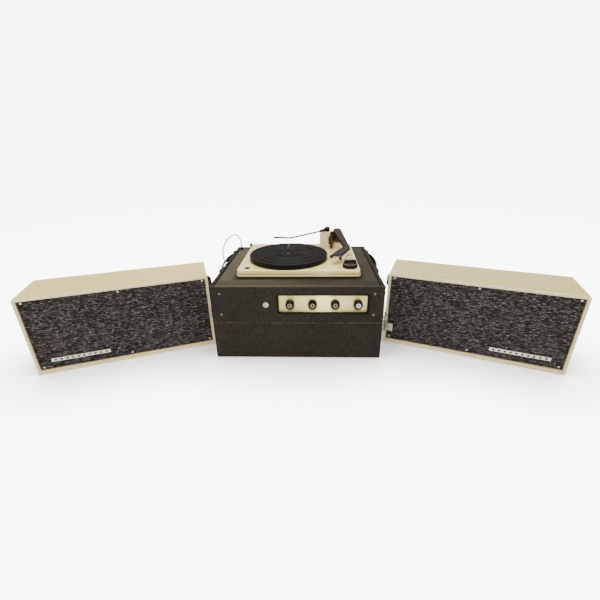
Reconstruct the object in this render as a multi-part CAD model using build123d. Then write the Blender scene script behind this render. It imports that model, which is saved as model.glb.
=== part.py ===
from build123d import *
from math import atan2, cos, degrees, pi, radians, sin, sqrt, tan
import os

# A portable stereo record player: a cloth-covered cabinet with a record changer on top,
# and two detachable loudspeaker boxes that stand beside it, turned in a little.
# Millimetres. +X to the right, +Y to the back, +Z up, origin under the cabinet's middle.

# Clearances
running = 0.05
seat_gap = 0.3
fixing = 0.1
cut_past = 1.0

# Cabinet
case_width = 440.0
case_depth = 370.0
case_height = 208.0
upper_height = 100.5
foot_thickness = 3.0
foot_radius = 11.0
foot_inset = 30.0
side_wall = 9.0
lower_wall = 10.0
back_wall = 16.0
floor_thickness = 9.0
edge_round = 2.5
floor_edge_round = 5.0
seam_groove = 0.8
board_thickness = 10.0
board_gap = 2.0
batten = 12.0
corner_post = 24.0
panel_thickness = 12.0
groove_start = 0.0
groove_end = 95.0
groove_from_front = 39.0
groove_width = 5.0
groove_depth = 1.5
deck_opening_shift = -8.0
deck_opening_width = 244.0
deck_opening_margin = 35.0
deck_opening_round = 12.0

# Control window, plate and knobs in the front panel
window_drop = 49.5
window_to_post = 0.6
window_width = 228.0
window_height = 52.0
window_round = 5.0
plate_overlap = 6.0
plate_sheet = 1.5
knob_shift = 2.35
knob_pitch = 57.7
knob_count = 4
knob_drop = 1.5
knob_radius = 11.2
knob_taper = 0.8
knob_length = 14.0
knob_round = 1.2
knob_bush_room = 1.0
knob_cap_radius = 7.2
knob_cap_height = 0.8
knob_dimple_radius = 2.0
pot_radius = 12.0
pot_length = 14.0
bush_radius = 4.5
bush_length = 3.0
shaft_radius = 3.0
shaft_length = 11.0
lamp_to_window = 30.8
lamp_drop = 0.3
lamp_radius = 7.5
lamp_neck_radius = 5.5
lamp_flange = 1.0
lamp_dome = 2.6
lamp_dome_radius = 6.0
front_screw_inset = 16.5
front_screw_drop = 19.5
front_screw_rise = 23.0
screw_head_radius = 3.2
screw_head_height = 1.4
screw_head_taper = 1.0
screw_slot_width = 0.8
screw_shank_radius = 1.8
screw_length = 24.0

# Amplifier
chassis_sheet = 1.5
chassis_to_post = 3.0
chassis_width = 244.0
chassis_depth = 133.0
chassis_lift = 2.5
chassis_flange = 14.0
mains_core = (56.0, 50.0, 46.0)
mains_core_inset = 29.0
mains_core_back = 98.0
output_core = (36.0, 30.0, 30.0)
output_core_inset = 120.0
output_core_back = 108.0
output_core_pitch = 44.0
valve_count = 4
valve_radius = 10.5
valve_base_height = 8.0
valve_glass_radius = 9.0
valve_glass_round = 5.4
valve_height = 44.0
valve_inset = 32.0
valve_pitch = 42.0
valve_back = 55.0

# Back panel and sockets
back_panel_width = 280.0
back_panel_height = 74.0
back_panel_drop = 55.0
back_panel_sheet = 3.0
back_opening_inset = 8.0
slot_count = 9
slot_pitch = 18.0
slot_first_x = -120.0
slot_width = 5.0
slot_height = 44.0
socket_first_x = 72.0
socket_pitch = 40.0
socket_radius = 8.0
socket_flange_radius = 11.0
socket_flange = 1.5
socket_depth = 14.0
socket_floor = 3.0
socket_bore = 4.0

# Strap handles
strap_thickness = 3.5
strap_pad = 22.0
strap_pad_overlap = 1.0
carry_strap_length = 200.0
carry_strap_width = 24.0
carry_strap_rise = 10.5
carry_strap_y = 40.0
carry_strap_drop = 14.5
cap_wall = 2.0
cap_reach = 19.0
cap_round = 1.4
speaker_strap_length = 108.0
speaker_strap_width = 28.0
speaker_strap_rise = 14.0
speaker_strap_drop = 42.0

# Changer deck plate
deck_x = 2.5
deck_y = 7.0
deck_width = 328.0
deck_depth = 270.0
deck_float = 4.0
deck_height = 18.0
deck_round = 12.0
deck_edge_round = 2.5
deck_sheet = 2.5
deck_step = 1.6
deck_groove_depth = 3.0
deck_groove_rise = 7.0
deck_groove_width = 2.0
mount_radius = 8.0
mount_inset_x = 24.0
mount_inset_y = 60.0

# Platter, spindle and drive
platter_from_deck = (-31.5, -21.0)
platter_radius = 111.0
platter_rim = 5.0
platter_lift = 2.0
platter_thickness = 9.5
platter_sheet = 2.0
platter_hub_radius = 15.0
mat_radius = 112.0
mat_thickness = 2.5
mat_rib_count = 5
mat_rib_first = 34.0
mat_rib_pitch = 14.0
mat_rib_width = 6.0
mat_rib_depth = 0.8
mat_label_radius = 20.0
mat_bore_room = 0.6
mat_rim = 0.8
sleeve_radius = 6.0
sleeve_stand = 1.5
sleeve_taper = 2.0
sleeve_taper_radius = 4.8
spindle_radius = 3.6
spindle_length = 17.0
spindle_tip_length = 10.0
spindle_tip_radius = 2.9
spindle_tip_round = 1.7
spindle_offset = 0.7
bearing_flange_radius = 16.0
bearing_flange = 1.7
bearing_depth = 25.0
idler_radius = 16.0
idler_direction = 140.0
wheel_lift = 0.6
wheel_thickness = 5.2
pulley_radius = 5.0
pulley_direction = -70.0
stud_radius = 2.0
stud_over_wheel = 0.8
wheel_round = 0.6
pulley_room = 1.0
motor_radius = 32.0
motor_height = 46.0
motor_flange = 3.0
motor_flange_radius = 38.0

# Tower and overarm
tower_from_deck = (77.5, 102.0)
tower_width = 32.0
tower_depth = 58.0
tower_height = 51.0
tower_wall = 2.5
tower_round = 7.0
tower_slope = 9.0
tower_crown_round = 2.0
tower_boss_depth = 39.0
overarm_from_tower = (7.0, -13.0)
overarm_hub_radius = 8.0
overarm_hub_height = 12.5
overarm_hub_round = 2.0
overarm_hub_cap = 2.0
overarm_shank_inset = 1.5
overarm_post_radius = 3.0
overarm_post_depth = 43.0
overarm_collar_radius = 5.5
overarm_collar = 1.0
overarm_root = (-25.0, -34.0)
overarm_bend = (7.5, -3.0)
overarm_tip = (-42.0, 5.0)
overarm_rod = 5.0
overarm_tip_width = 7.0
overarm_tip_thickness = 4.0
overarm_tip_round = 1.2

# Tonearm
arm_from_deck = (115.0, 81.0)
arm_pivot_height = 50.0
arm_tilt = 12.0
arm_rear_radius = 13.0
arm_rear_reach = 2.0
arm_bend_inner = (12.0, -103.5)
arm_bend_outer = (29.0, -113.5)
arm_head_corner = (2.5, -154.0)
arm_head_tip = (-34.0, -162.6)
arm_above_pivot = 8.0
arm_below_pivot = 5.0
arm_head_thickness = 7.5
arm_wall = 1.6
arm_edge_round = 2.2
arm_head_round = 2.5
arm_corner_round = 4.0
arm_base_taper = 2.0
arm_base_radius = 12.0
arm_base_foot_radius = 17.0
arm_base_foot = 3.0
arm_base_drop = 18.0
arm_pin_radius = 2.5
arm_pin_drop = 8.0
gimbal_inner = 7.0
gimbal_outer = 9.0
gimbal_depth = 8.0
gimbal_web = 4.0
trunnion_radius = 1.5
trunnion_length = 3.4
cartridge_place = (-3.7, -142.2)
cartridge_turn = 35.5
cartridge_width = 12.0
cartridge_length = 18.0
cartridge_height = 7.0
stylus_over_mat = 1.3
stylus_radius = 0.6
stylus_point = 0.2
stylus_length = 4.7
stylus_inset = 2.0
lift_blade_start = 3.0
lift_blade_length = 23.3
lift_blade_width = 4.0
lift_blade_sheet = 1.0
lift_blade_drop = 2.6
lift_blade_round = 1.5
rest_place = (2.0, -120.0)
rest_radius = 3.5
rest_foot = 2.0
rest_foot_radius = 5.5
rest_saddle = (14.0, 8.0, 3.0)
arm_screw_y = 4.0
arm_screw_radius = 2.6
arm_screw_height = 0.8

# Knob, lever and small pieces on the deck
selector_inset = (27.0, 28.0)
selector_radius = 20.0
selector_skirt = 11.0
selector_taper = 0.8
selector_round = 1.2
selector_step_radius = 16.5
selector_step = 2.5
selector_grip = (31.0, 9.0, 6.0)
selector_grip_end = 4.3
selector_grip_round = 1.5
selector_turn = 8.0
selector_shaft_radius = 4.0
selector_shaft_depth = 14.0
lever_inset_x = 15.5
lever_from_deck_y = 3.0
lever_radius = 7.5
lever_height = 3.0
lever_round = 0.8
lever_tab_inset = 0.5
lever_tab_end = 2.4
lever_stem = 8.0
lever_length = 21.0
lever_width = 5.0
lever_direction = -123.0
transport_screw_inset = 13.0
transport_screws_from_deck_y = (-5.0, -30.0)
transport_head_radius = 3.6
transport_head = 1.8
transport_shank_radius = 2.0
transport_shank = 9.0
transport_slot = 1.0
clip_inset = (52.0, 32.0)
clip_width = 9.0
clip_depth = 10.0
clip_height = 19.0
clip_round = 1.5
clip_wire_radius = 0.8
clip_wire_inset = 1.0
clip_apex = (5.5, -4.0, 35.0)
clip_wire_end_inset = (15.5, 4.5)

# Loudspeaker boxes, turned in; each inner front bottom corner stands off the cabinet by these
speaker_width = 440.0
speaker_height = 210.0
speaker_depth = 138.0
speaker_turn = 20.7
speaker_stand_left = (22.5, 69.0)
speaker_stand_right = (25.0, 87.0)
speaker_side = 6.5
speaker_bottom = 12.0
speaker_back = 8.0
speaker_edge_round = 1.5
grille_gap = 0.5
grille_recess = 5.0
grille_thickness = 8.0
grille_skin = 1.0
grille_batten = 9.0
woofer_x = 135.0
woofer_clearance = 4.75
woofer_flange_width = 10.0
woofer_depth = 72.0
woofer_magnet_radius = 34.0
woofer_magnet_height = 27.0
woofer_neck_radius = 20.0
woofer_throat = 16.0
woofer_cone_depth = 29.0
tweeter_inset = 110.0
tweeter_radius = 44.0
tweeter_flange_width = 8.0
tweeter_depth = 38.0
tweeter_magnet_radius = 22.0
tweeter_magnet_height = 14.0
tweeter_neck_radius = 13.0
tweeter_throat = 8.0
tweeter_cone_depth = 15.0
driver_flange = 3.0
surround = 2.0
badge_inset = 35.0
badge_length = 135.0
badge_z = 35.5
badge_height = 9.5
badge_sheet = 2.0
badge_round = 0.6
grille_screw_inset = 15.0
grille_screw_drop = 12.5
grille_screw_rise = 18.5
grille_screw_radius = 2.6
grille_screw_shank = 1.3
grille_screw_head = 1.2
grille_screw_round = 0.7
latch_sheet = 1.5
latch_low = 36.0
latch_high = 94.0
latch_reach = 24.0
latch_front = 5.5
latch_axis_x = -4.5
latch_axis_y = -5.2
knuckle_radius = 3.2
latch_pin_radius = 1.5
knuckle_length = 4.0
hasp_low = 42.0
hasp_high = 65.0
hasp_sheet = 1.6
hasp_reach = 24.0
hasp_lip = 5.0
stud_ball_radius = 5.0
stud_neck_radius = 2.2
stud_neck_length = 4.0
stud_stand = 2.0
stud_ball_x = 2.0
stud_ball_z = 83.0
catch_low = 85.0
catch_high = 116.0
catch_lip = 4.0
catch_lip_x = 4.0
catch_lip_inset = 6.0

# Mains lead, put away in a round coil of two layers behind the cabinet
lead_diameter = 4.5
arc_share = 0.45
lead_exit_inset = (19.5, 35.0)
boot_flange_radius = 6.0
boot_flange = 1.5
boot_radius = 4.0
boot_end_radius = 3.0
boot_stand = 10.0
coil_inner_radius = 18.0
coil_gap = 0.45
coil_lower_halves = 7
coil_upper_halves = 6
coil_start_inset = 68.0
coil_start_back = 23.0
coil_tail = 24.0
coil_sample = 1.5
plug_width = 25.0
plug_length = 36.0
plug_neck = 12.0
plug_neck_overlap = 2.0
plug_neck_wall = 0.8
plug_neck_inset = 1.5
plug_round = 3.0
plug_pin_radius = 2.0
plug_pin_length = 19.0
plug_pin_pitch = 19.0
plug_pin_round = 1.2
plug_pin_hold = 3.0

front = -case_depth / 2
back = case_depth / 2
panel_back = front + panel_thickness
rim_inner_x = case_width / 2 - side_wall
board_half = rim_inner_x - board_gap
board_low = case_height - board_thickness
board_back = back - back_wall - board_gap
seam_height = case_height - upper_height
corner_post_x = rim_inner_x - corner_post
groove_y = front + groove_from_front

window_x = corner_post_x - window_to_post - plate_overlap - window_width / 2
window_z = case_height - window_drop
knob_middle = window_x + knob_shift
knob_places = [knob_middle + knob_pitch * (i - (knob_count - 1) / 2) for i in range(knob_count)]
knob_z = window_z - knob_drop
lamp_x = window_x - window_width / 2 - lamp_to_window
lamp_z = window_z - lamp_drop
front_screw_x = rim_inner_x - front_screw_inset
front_screw_heights = (case_height - front_screw_drop, seam_height + front_screw_rise)

chassis_right = corner_post_x - chassis_to_post
chassis_left = chassis_right - chassis_width
mains_core_place = (chassis_right - mains_core_inset, panel_back + mains_core_back)
output_core_place = (chassis_left + output_core_inset, panel_back + output_core_back)
valve_first_x = chassis_left + valve_inset
valve_y = panel_back + valve_back
back_panel_z = case_height - back_panel_drop
carry_strap_z = case_height - carry_strap_drop

deck_bottom = case_height + deck_float
deck_top = deck_bottom + deck_height
deck_groove_low = deck_bottom + deck_groove_rise
deck_groove_high = deck_groove_low + deck_groove_width
deck_left = deck_x - deck_width / 2
deck_right = deck_x + deck_width / 2
deck_front = deck_y - deck_depth / 2
deck_back = deck_y + deck_depth / 2

platter_x = deck_x + platter_from_deck[0]
platter_y = deck_y + platter_from_deck[1]
platter_low = deck_top + platter_lift
platter_high = platter_low + platter_thickness
sleeve_top = platter_high + sleeve_stand
spindle_step = sleeve_top + spindle_length
spindle_top = spindle_step + spindle_tip_length
wheel_low = platter_low + wheel_lift
wheel_high = wheel_low + wheel_thickness

tower_x = deck_x + tower_from_deck[0]
tower_y = deck_y + tower_from_deck[1]
tower_top = deck_top + tower_height
overarm_x = tower_x + overarm_from_tower[0]
overarm_y = tower_y + overarm_from_tower[1]
overarm_post_low = tower_top - overarm_post_depth

arm_x = deck_x + arm_from_deck[0]
arm_y = deck_y + arm_from_deck[1]
arm_pivot_z = deck_top + arm_pivot_height
arm_base_top = arm_pivot_z - arm_base_drop
arm_pin_top = arm_pivot_z - arm_pin_drop
rest_x = arm_x + rest_place[0]
rest_y = arm_y + rest_place[1]
selector_x = deck_right - selector_inset[0]
selector_y = deck_front + selector_inset[1]
lever_x = deck_right - lever_inset_x
lever_y = deck_y + lever_from_deck_y
transport_screws_at = [(deck_left + transport_screw_inset, deck_y + transport_screws_from_deck_y[0]),
                       (deck_right - transport_screw_inset, deck_y + transport_screws_from_deck_y[1])]
clip_x = -case_width / 2 + clip_inset[0]
clip_y = back - clip_inset[1]

woofer_radius = (speaker_height - speaker_bottom - speaker_side) / 2 - grille_batten - woofer_clearance
woofer_opening = woofer_radius - woofer_flange_width
tweeter_x = speaker_width - tweeter_inset
tweeter_opening = tweeter_radius - tweeter_flange_width
driver_z = (speaker_bottom + speaker_height - speaker_side) / 2
speaker_strap_z = speaker_height - speaker_strap_drop
speaker_corner_left = (-case_width / 2 - speaker_stand_left[0], front + speaker_stand_left[1])
speaker_corner_right = (case_width / 2 + speaker_stand_right[0], front + speaker_stand_right[1])
grille_screw_heights = (speaker_height - grille_screw_drop, grille_screw_rise)
grille_screw_sides = (grille_screw_inset, speaker_width / 2, speaker_width - grille_screw_inset)
grille_screw_places = [(x, z) for x in grille_screw_sides for z in grille_screw_heights]

lead_radius = lead_diameter / 2
lead_exit = (-case_width / 2 + lead_exit_inset[0], back - lead_exit_inset[1])
boot_top = case_height + boot_stand
coil_start_x = -case_width / 2 + coil_start_inset
coil_start_y = back + coil_start_back

nodes = {}


def block(x0, x1, y0, y1, z0, z1):
    return Pos((x0 + x1) / 2, (y0 + y1) / 2, (z0 + z1) / 2) * Box(x1 - x0, y1 - y0, z1 - z0)


def post(x, y, z0, z1, radius):
    return Pos(x, y, (z0 + z1) / 2) * Cylinder(radius, z1 - z0)


def taper(x, y, z0, z1, low_radius, high_radius):
    return Pos(x, y, (z0 + z1) / 2) * Cone(low_radius, high_radius, z1 - z0)


def rod_y(x, z, y0, y1, radius):
    return Pos(x, (y0 + y1) / 2, z) * Rot(90, 0, 0) * Cylinder(radius, y1 - y0)


def rod_x(y, z, x0, x1, radius):
    return Pos((x0 + x1) / 2, y, z) * Rot(0, 90, 0) * Cylinder(radius, x1 - x0)


def rod_between(a, b, radius):
    run = Vector(*b) - Vector(*a)
    plane = Plane(origin=a, z_dir=run)
    return extrude(plane * Circle(radius), run.length)


def slab(x, y, width, depth, z0, z1, radius):
    return extrude(Pos(x, y, z0) * RectangleRounded(width, depth, radius), z1 - z0)


def turned(points):
    return revolve(Plane.XZ * make_face(Polyline(*points, close=True)), Axis.Z)


def lower_case():
    half = case_width / 2
    body = block(-half, half, front, back, 0, seam_height)
    body = fillet(body.edges().filter_by(Axis.Z), edge_round)
    body = fillet(body.edges().filter_by(Axis.Y).group_by(Axis.Z)[0], floor_edge_round)
    body = chamfer(body.faces().sort_by(Axis.Z)[-1].edges(), seam_groove)
    inner = half - lower_wall
    for foot in rubber_feet(fixing):
        body -= foot
    return body - block(-inner, inner, front + lower_wall, back - lower_wall, floor_thickness, case_height)


def rubber_feet(margin=0.0):
    # Pads let into the underside, flush with it.
    x = case_width / 2 - foot_inset
    y = case_depth / 2 - foot_inset
    return [post(sx * x, sy * y, 0, foot_thickness, foot_radius + margin) for sx in (-1, 1) for sy in (-1, 1)]


def front_screw_holes(radius, start, end):
    return [rod_y(side * front_screw_x, z, start, end, radius)
            for side in (-1, 1) for z in front_screw_heights]


def back_opening():
    half = back_panel_width / 2 - back_opening_inset
    tall = back_panel_height / 2 - back_opening_inset
    return block(-half, half, back - back_wall, back, back_panel_z - tall, back_panel_z + tall)


def upper_case():
    half = case_width / 2
    body = block(-half, half, panel_back, back, seam_height, case_height)
    body = fillet(body.edges().filter_by(Axis.Z).group_by(Axis.Y)[-1], edge_round)
    body = fillet(body.edges().group_by(Axis.Z)[-1].filter_by(Axis.Y), edge_round)
    body = chamfer(body.edges().group_by(Axis.Z)[0].filter_by(Axis.Y), seam_groove)
    inner_back = back - back_wall
    body -= block(-rim_inner_x, rim_inner_x, panel_back, inner_back, seam_height, case_height)
    for side in (-1, 1):
        edge = side * rim_inner_x
        inside = side * (rim_inner_x - batten)
        post_inside = side * corner_post_x
        body += block(min(edge, inside), max(edge, inside), panel_back, inner_back,
                      board_low - batten, board_low)
        body += block(min(edge, post_inside), max(edge, post_inside), panel_back,
                      panel_back + corner_post, seam_height, board_low)
    body += block(-rim_inner_x, rim_inner_x, inner_back - batten, inner_back, board_low - batten, board_low)
    body -= back_opening()
    body -= block(-back_panel_width / 2, back_panel_width / 2, back - back_panel_sheet, back,
                  back_panel_z - back_panel_height / 2, back_panel_z + back_panel_height / 2)
    for hole in front_screw_holes(screw_shank_radius + fixing, panel_back, front + screw_length + seat_gap):
        body -= hole
    return body


def board_outline():
    section = Polyline((front, case_height), (board_back, case_height), (board_back, board_low),
                       (front + board_thickness, board_low), close=True)
    return Pos(-board_half, 0, 0) * extrude(Plane.YZ * make_face(section), 2 * board_half)


def motor_board():
    body = board_outline()
    low, high = board_low, case_height
    opening_depth = deck_depth - 2 * deck_opening_margin
    body -= slab(deck_x + deck_opening_shift, deck_y, deck_opening_width, opening_depth, low, high,
                 deck_opening_round)
    body -= post(*lead_exit, low, high, boot_radius + fixing)
    middle = (groove_start + groove_end) / 2
    groove = Pos(middle, groove_y, high - groove_depth) * SlotOverall(groove_end - groove_start, groove_width)
    return body - extrude(groove, groove_depth)


def window_cut(y0, y1, margin=0.0):
    shape = RectangleRounded(window_width + 2 * margin, window_height + 2 * margin, window_round)
    plane = Plane(origin=(window_x, y0, window_z), x_dir=(1, 0, 0), z_dir=(0, 1, 0))
    return extrude(plane * shape, y1 - y0)


def front_panel():
    half = case_width / 2
    body = block(-half, half, front, panel_back, seam_height, case_height)
    body = fillet(body.edges().filter_by(Axis.Z).group_by(Axis.Y)[0], edge_round)
    body = chamfer(body.edges().group_by(Axis.Z)[0].group_by(Axis.Y)[0], seam_groove)
    body -= board_outline()
    body -= window_cut(front, panel_back)
    body -= rod_y(lamp_x, lamp_z, front, panel_back, lamp_neck_radius + fixing)
    for hole in front_screw_holes(screw_shank_radius + fixing, front, panel_back):
        body -= hole
    return body


def front_screws():
    screws = []
    for shank in front_screw_holes(screw_shank_radius, front, front + screw_length):
        at = shank.center()
        head = Pos(at.X, front - screw_head_height / 2, at.Z) * Rot(90, 0, 0) * Cone(
            screw_head_radius, screw_head_radius - screw_head_taper, screw_head_height)
        slot = block(at.X - screw_head_radius, at.X + screw_head_radius, front - screw_head_height,
                     front - screw_head_height / 2, at.Z - screw_slot_width / 2, at.Z + screw_slot_width / 2)
        screws.append(shank + head - slot)
    return screws


def control_plate():
    body = window_cut(panel_back, panel_back + plate_sheet, plate_overlap)
    for x in knob_places:
        body -= rod_y(x, knob_z, panel_back, panel_back + plate_sheet, bush_radius + fixing)
    return body


def potentiometers():
    pots = []
    for x in knob_places:
        seat = panel_back + plate_sheet
        can = rod_y(x, knob_z, seat, seat + pot_length, pot_radius)
        bush = rod_y(x, knob_z, panel_back - bush_length, seat, bush_radius)
        shaft = rod_y(x, knob_z, panel_back - shaft_length, panel_back, shaft_radius)
        pots.append(can + bush + shaft)
    return pots


def control_knob(x):
    # A tapered skirt with a raised cap; the back is bored for the bush and the shaft.
    base = panel_back - seat_gap
    face = base - knob_length
    sweep_down = Plane(origin=(x, base, knob_z), z_dir=(0, -1, 0))
    skirt = loft([sweep_down * Circle(knob_radius),
                  sweep_down.offset(knob_length) * Circle(knob_radius - knob_taper)])
    skirt = fillet(skirt.faces().sort_by(Axis.Y)[0].edges(), knob_round)
    cap = rod_y(x, knob_z, face - knob_cap_height, face, knob_cap_radius)
    dimple = rod_y(x, knob_z, face - knob_cap_height, face, knob_dimple_radius)
    bush_room = rod_y(x, knob_z, base - bush_length - seat_gap, base, bush_radius + knob_bush_room)
    shaft_room = rod_y(x, knob_z, panel_back - shaft_length - seat_gap, base, shaft_radius + running)
    return skirt + cap - dimple - bush_room - shaft_room


def pilot_lens():
    neck = rod_y(lamp_x, lamp_z, front, panel_back, lamp_neck_radius)
    seat = front - lamp_flange
    flange = rod_y(lamp_x, lamp_z, seat, front, lamp_radius)
    sphere_radius = (lamp_dome_radius ** 2 + lamp_dome ** 2) / (2 * lamp_dome)
    dome = Pos(lamp_x, seat + sphere_radius - lamp_dome, lamp_z) * Sphere(sphere_radius)
    dome &= rod_y(lamp_x, lamp_z, seat - lamp_dome, front, lamp_dome_radius)
    return neck + flange + dome


def amplifier_chassis():
    low = seam_height + chassis_lift
    tray = block(chassis_left, chassis_right, panel_back, panel_back + chassis_depth,
                 low, low + chassis_flange)
    tray -= block(chassis_left, chassis_right, panel_back + chassis_sheet,
                  panel_back + chassis_depth - chassis_sheet, low + chassis_sheet, low + chassis_flange)
    return tray


def on_chassis(x, y, size):
    seat = seam_height + chassis_lift + chassis_sheet
    return block(x - size[0] / 2, x + size[0] / 2, y - size[1] / 2, y + size[1] / 2, seat, seat + size[2])


def transformers():
    cores = [on_chassis(*mains_core_place, mains_core)]
    for i in range(2):
        x = output_core_place[0] + i * output_core_pitch
        cores.append(on_chassis(x, output_core_place[1], output_core))
    return cores


def valves():
    seat = seam_height + chassis_lift + chassis_sheet
    shoulder = seat + valve_base_height
    lamps = []
    for i in range(valve_count):
        x = valve_first_x + i * valve_pitch
        glass = post(x, valve_y, shoulder, seat + valve_height, valve_glass_radius)
        glass = fillet(glass.edges().group_by(Axis.Z)[-1], valve_glass_round)
        lamps.append(post(x, valve_y, seat, shoulder, valve_radius) + glass)
    return lamps


def socket_places():
    return [socket_first_x, socket_first_x + socket_pitch]


def back_panel():
    low = back_panel_z - back_panel_height / 2
    body = block(-back_panel_width / 2, back_panel_width / 2, back - back_panel_sheet, back,
                 low, low + back_panel_height)
    for i in range(slot_count):
        x = slot_first_x + i * slot_pitch
        plane = Plane(origin=(x, back - back_panel_sheet, back_panel_z), x_dir=(1, 0, 0), z_dir=(0, 1, 0))
        body -= extrude(plane * SlotOverall(slot_height, slot_width, rotation=90), back_panel_sheet)
    for x in socket_places():
        body -= rod_y(x, back_panel_z, back - back_panel_sheet, back, socket_radius + fixing)
    return body


def speaker_sockets():
    sockets = []
    for x in socket_places():
        flange = rod_y(x, back_panel_z, back, back + socket_flange, socket_flange_radius)
        barrel = rod_y(x, back_panel_z, back - socket_depth, back, socket_radius)
        bore = rod_y(x, back_panel_z, back - socket_depth + socket_floor, back + socket_flange, socket_bore)
        sockets.append(flange + barrel - bore)
    return sockets


def strap(length, width, rise):
    # Lies on the plane X = 0 and arches out to +X; it runs along Y and is centred at the origin.
    span = length / 2 - strap_pad
    radius = (span ** 2 + rise ** 2) / (2 * rise)
    ring = Pos(rise - radius, 0, 0) * (Cylinder(radius, width) - Cylinder(radius - strap_thickness, width))
    arch = ring & block(0, rise, -length / 2, length / 2, -width / 2, width / 2)
    inner = span - strap_pad_overlap
    far_pad = block(0, strap_thickness, inner, length / 2, -width / 2, width / 2)
    return arch + far_pad + mirror(far_pad, Plane.XZ)


def strap_cap(length, width, side):
    # A pressed cover over one end of the strap.
    outer = length / 2 + cap_wall
    inner = length / 2 - cap_reach
    high = strap_thickness + cap_wall
    cover = block(0, high, inner, outer, -width / 2 - cap_wall, width / 2 + cap_wall)
    cover = fillet(cover.edges().group_by(Axis.X)[-1], cap_round)
    cover -= block(0, strap_thickness, inner, length / 2, -width / 2, width / 2)
    return cover if side > 0 else mirror(cover, Plane.XZ)


def side_places():
    half = case_width / 2
    return [Pos(half, carry_strap_y, carry_strap_z),
            Pos(-half, carry_strap_y, carry_strap_z) * Rot(0, 0, 180)]


def carry_straps():
    return [place * strap(carry_strap_length, carry_strap_width, carry_strap_rise) for place in side_places()]


def strap_caps():
    return [place * strap_cap(carry_strap_length, carry_strap_width, side)
            for place in side_places() for side in (-1, 1)]


def idler_place():
    reach = platter_radius - platter_rim - idler_radius - seat_gap
    turn = radians(idler_direction)
    return platter_x + reach * cos(turn), platter_y + reach * sin(turn)


def pulley_place():
    x, y = idler_place()
    reach = idler_radius + pulley_radius + seat_gap
    turn = radians(pulley_direction)
    return x + reach * cos(turn), y + reach * sin(turn)


def changer_plate():
    skirt = slab(deck_x, deck_y, deck_width, deck_depth, deck_bottom, deck_groove_low, deck_round)
    inset = 2 * deck_groove_depth
    neck = slab(deck_x, deck_y, deck_width - inset, deck_depth - inset, deck_groove_low, deck_groove_high,
                deck_round - deck_groove_depth)
    step = 2 * deck_step
    crown = slab(deck_x, deck_y, deck_width - step, deck_depth - step, deck_groove_high, deck_top,
                 deck_round - deck_step)
    crown = fillet(crown.edges().group_by(Axis.Z)[-1], deck_edge_round)
    inner = 2 * (deck_groove_depth + deck_sheet)
    hollow = slab(deck_x, deck_y, deck_width - inner, deck_depth - inner, deck_bottom, deck_top - deck_sheet,
                  deck_round - deck_groove_depth - deck_sheet)
    body = skirt + neck + crown - hollow
    low, high = deck_top - deck_sheet, deck_top
    body -= post(platter_x, platter_y, low, high, sleeve_radius + fixing)
    body -= post(*pulley_place(), low, high, pulley_radius + pulley_room)
    body -= post(selector_x, selector_y, low, high, selector_shaft_radius + running)
    body -= post(lever_x, lever_y, low, high, stud_radius + running)
    for x, y in transport_screws_at:
        body -= post(x, y, low, high, transport_shank_radius + fixing)
    return body + post(*idler_place(), deck_top, wheel_high + stud_over_wheel, stud_radius)


def suspension_mounts():
    x = deck_width / 2 - mount_inset_x
    y = deck_depth / 2 - mount_inset_y
    return [post(deck_x + sx * x, deck_y + sy * y, case_height, deck_top - deck_sheet, mount_radius)
            for sx in (-1, 1) for sy in (-1, 1)]


def record_spindle():
    x, y = platter_x, platter_y
    body = post(x, y, deck_top - bearing_depth, sleeve_top, sleeve_radius)
    body += post(x, y, deck_top, deck_top + bearing_flange, bearing_flange_radius)
    neck = sleeve_top + sleeve_taper
    body += taper(x, y, sleeve_top, neck, sleeve_taper_radius, spindle_radius)
    body += post(x, y, neck, spindle_step, spindle_radius)
    tip = post(x + spindle_offset, y, spindle_step, spindle_top, spindle_tip_radius)
    return body + fillet(tip.edges().group_by(Axis.Z)[-1], spindle_tip_round)


def drive_motor():
    x, y = pulley_place()
    under = deck_top - deck_sheet
    body = post(x, y, under - motor_flange, under, motor_flange_radius)
    body += post(x, y, under - motor_height, under - motor_flange, motor_radius)
    return body + post(x, y, under, wheel_high + stud_over_wheel, stud_radius)


def platter():
    inner = platter_radius - platter_rim
    hub = sleeve_radius + running
    points = [(hub, platter_low), (platter_hub_radius, platter_low),
              (platter_hub_radius, platter_high - platter_sheet), (inner, platter_high - platter_sheet),
              (inner, platter_low), (platter_radius, platter_low), (platter_radius, platter_high),
              (hub, platter_high)]
    return Pos(platter_x, platter_y, 0) * turned(points)


def platter_mat():
    high = platter_high + mat_thickness
    bore = sleeve_radius + mat_bore_room
    rim = mat_rim
    points = [(bore, platter_high), (mat_radius - rim, platter_high), (mat_radius, platter_high + rim),
              (mat_radius, high - rim), (mat_radius - rim, high)]
    for i in reversed(range(mat_rib_count)):
        start = mat_rib_first + i * mat_rib_pitch
        points += [(start + mat_rib_width, high), (start + mat_rib_width, high - mat_rib_depth),
                   (start, high - mat_rib_depth), (start, high)]
    points += [(mat_label_radius, high), (mat_label_radius, high - mat_rib_depth),
               (bore, high - mat_rib_depth)]
    return Pos(platter_x, platter_y, 0) * turned(points)


def wheel(place, radius):
    x, y = place
    tyre = fillet(post(x, y, wheel_low, wheel_high, radius).edges(), wheel_round)
    return tyre - post(x, y, wheel_low, wheel_high, stud_radius + running)


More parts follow.
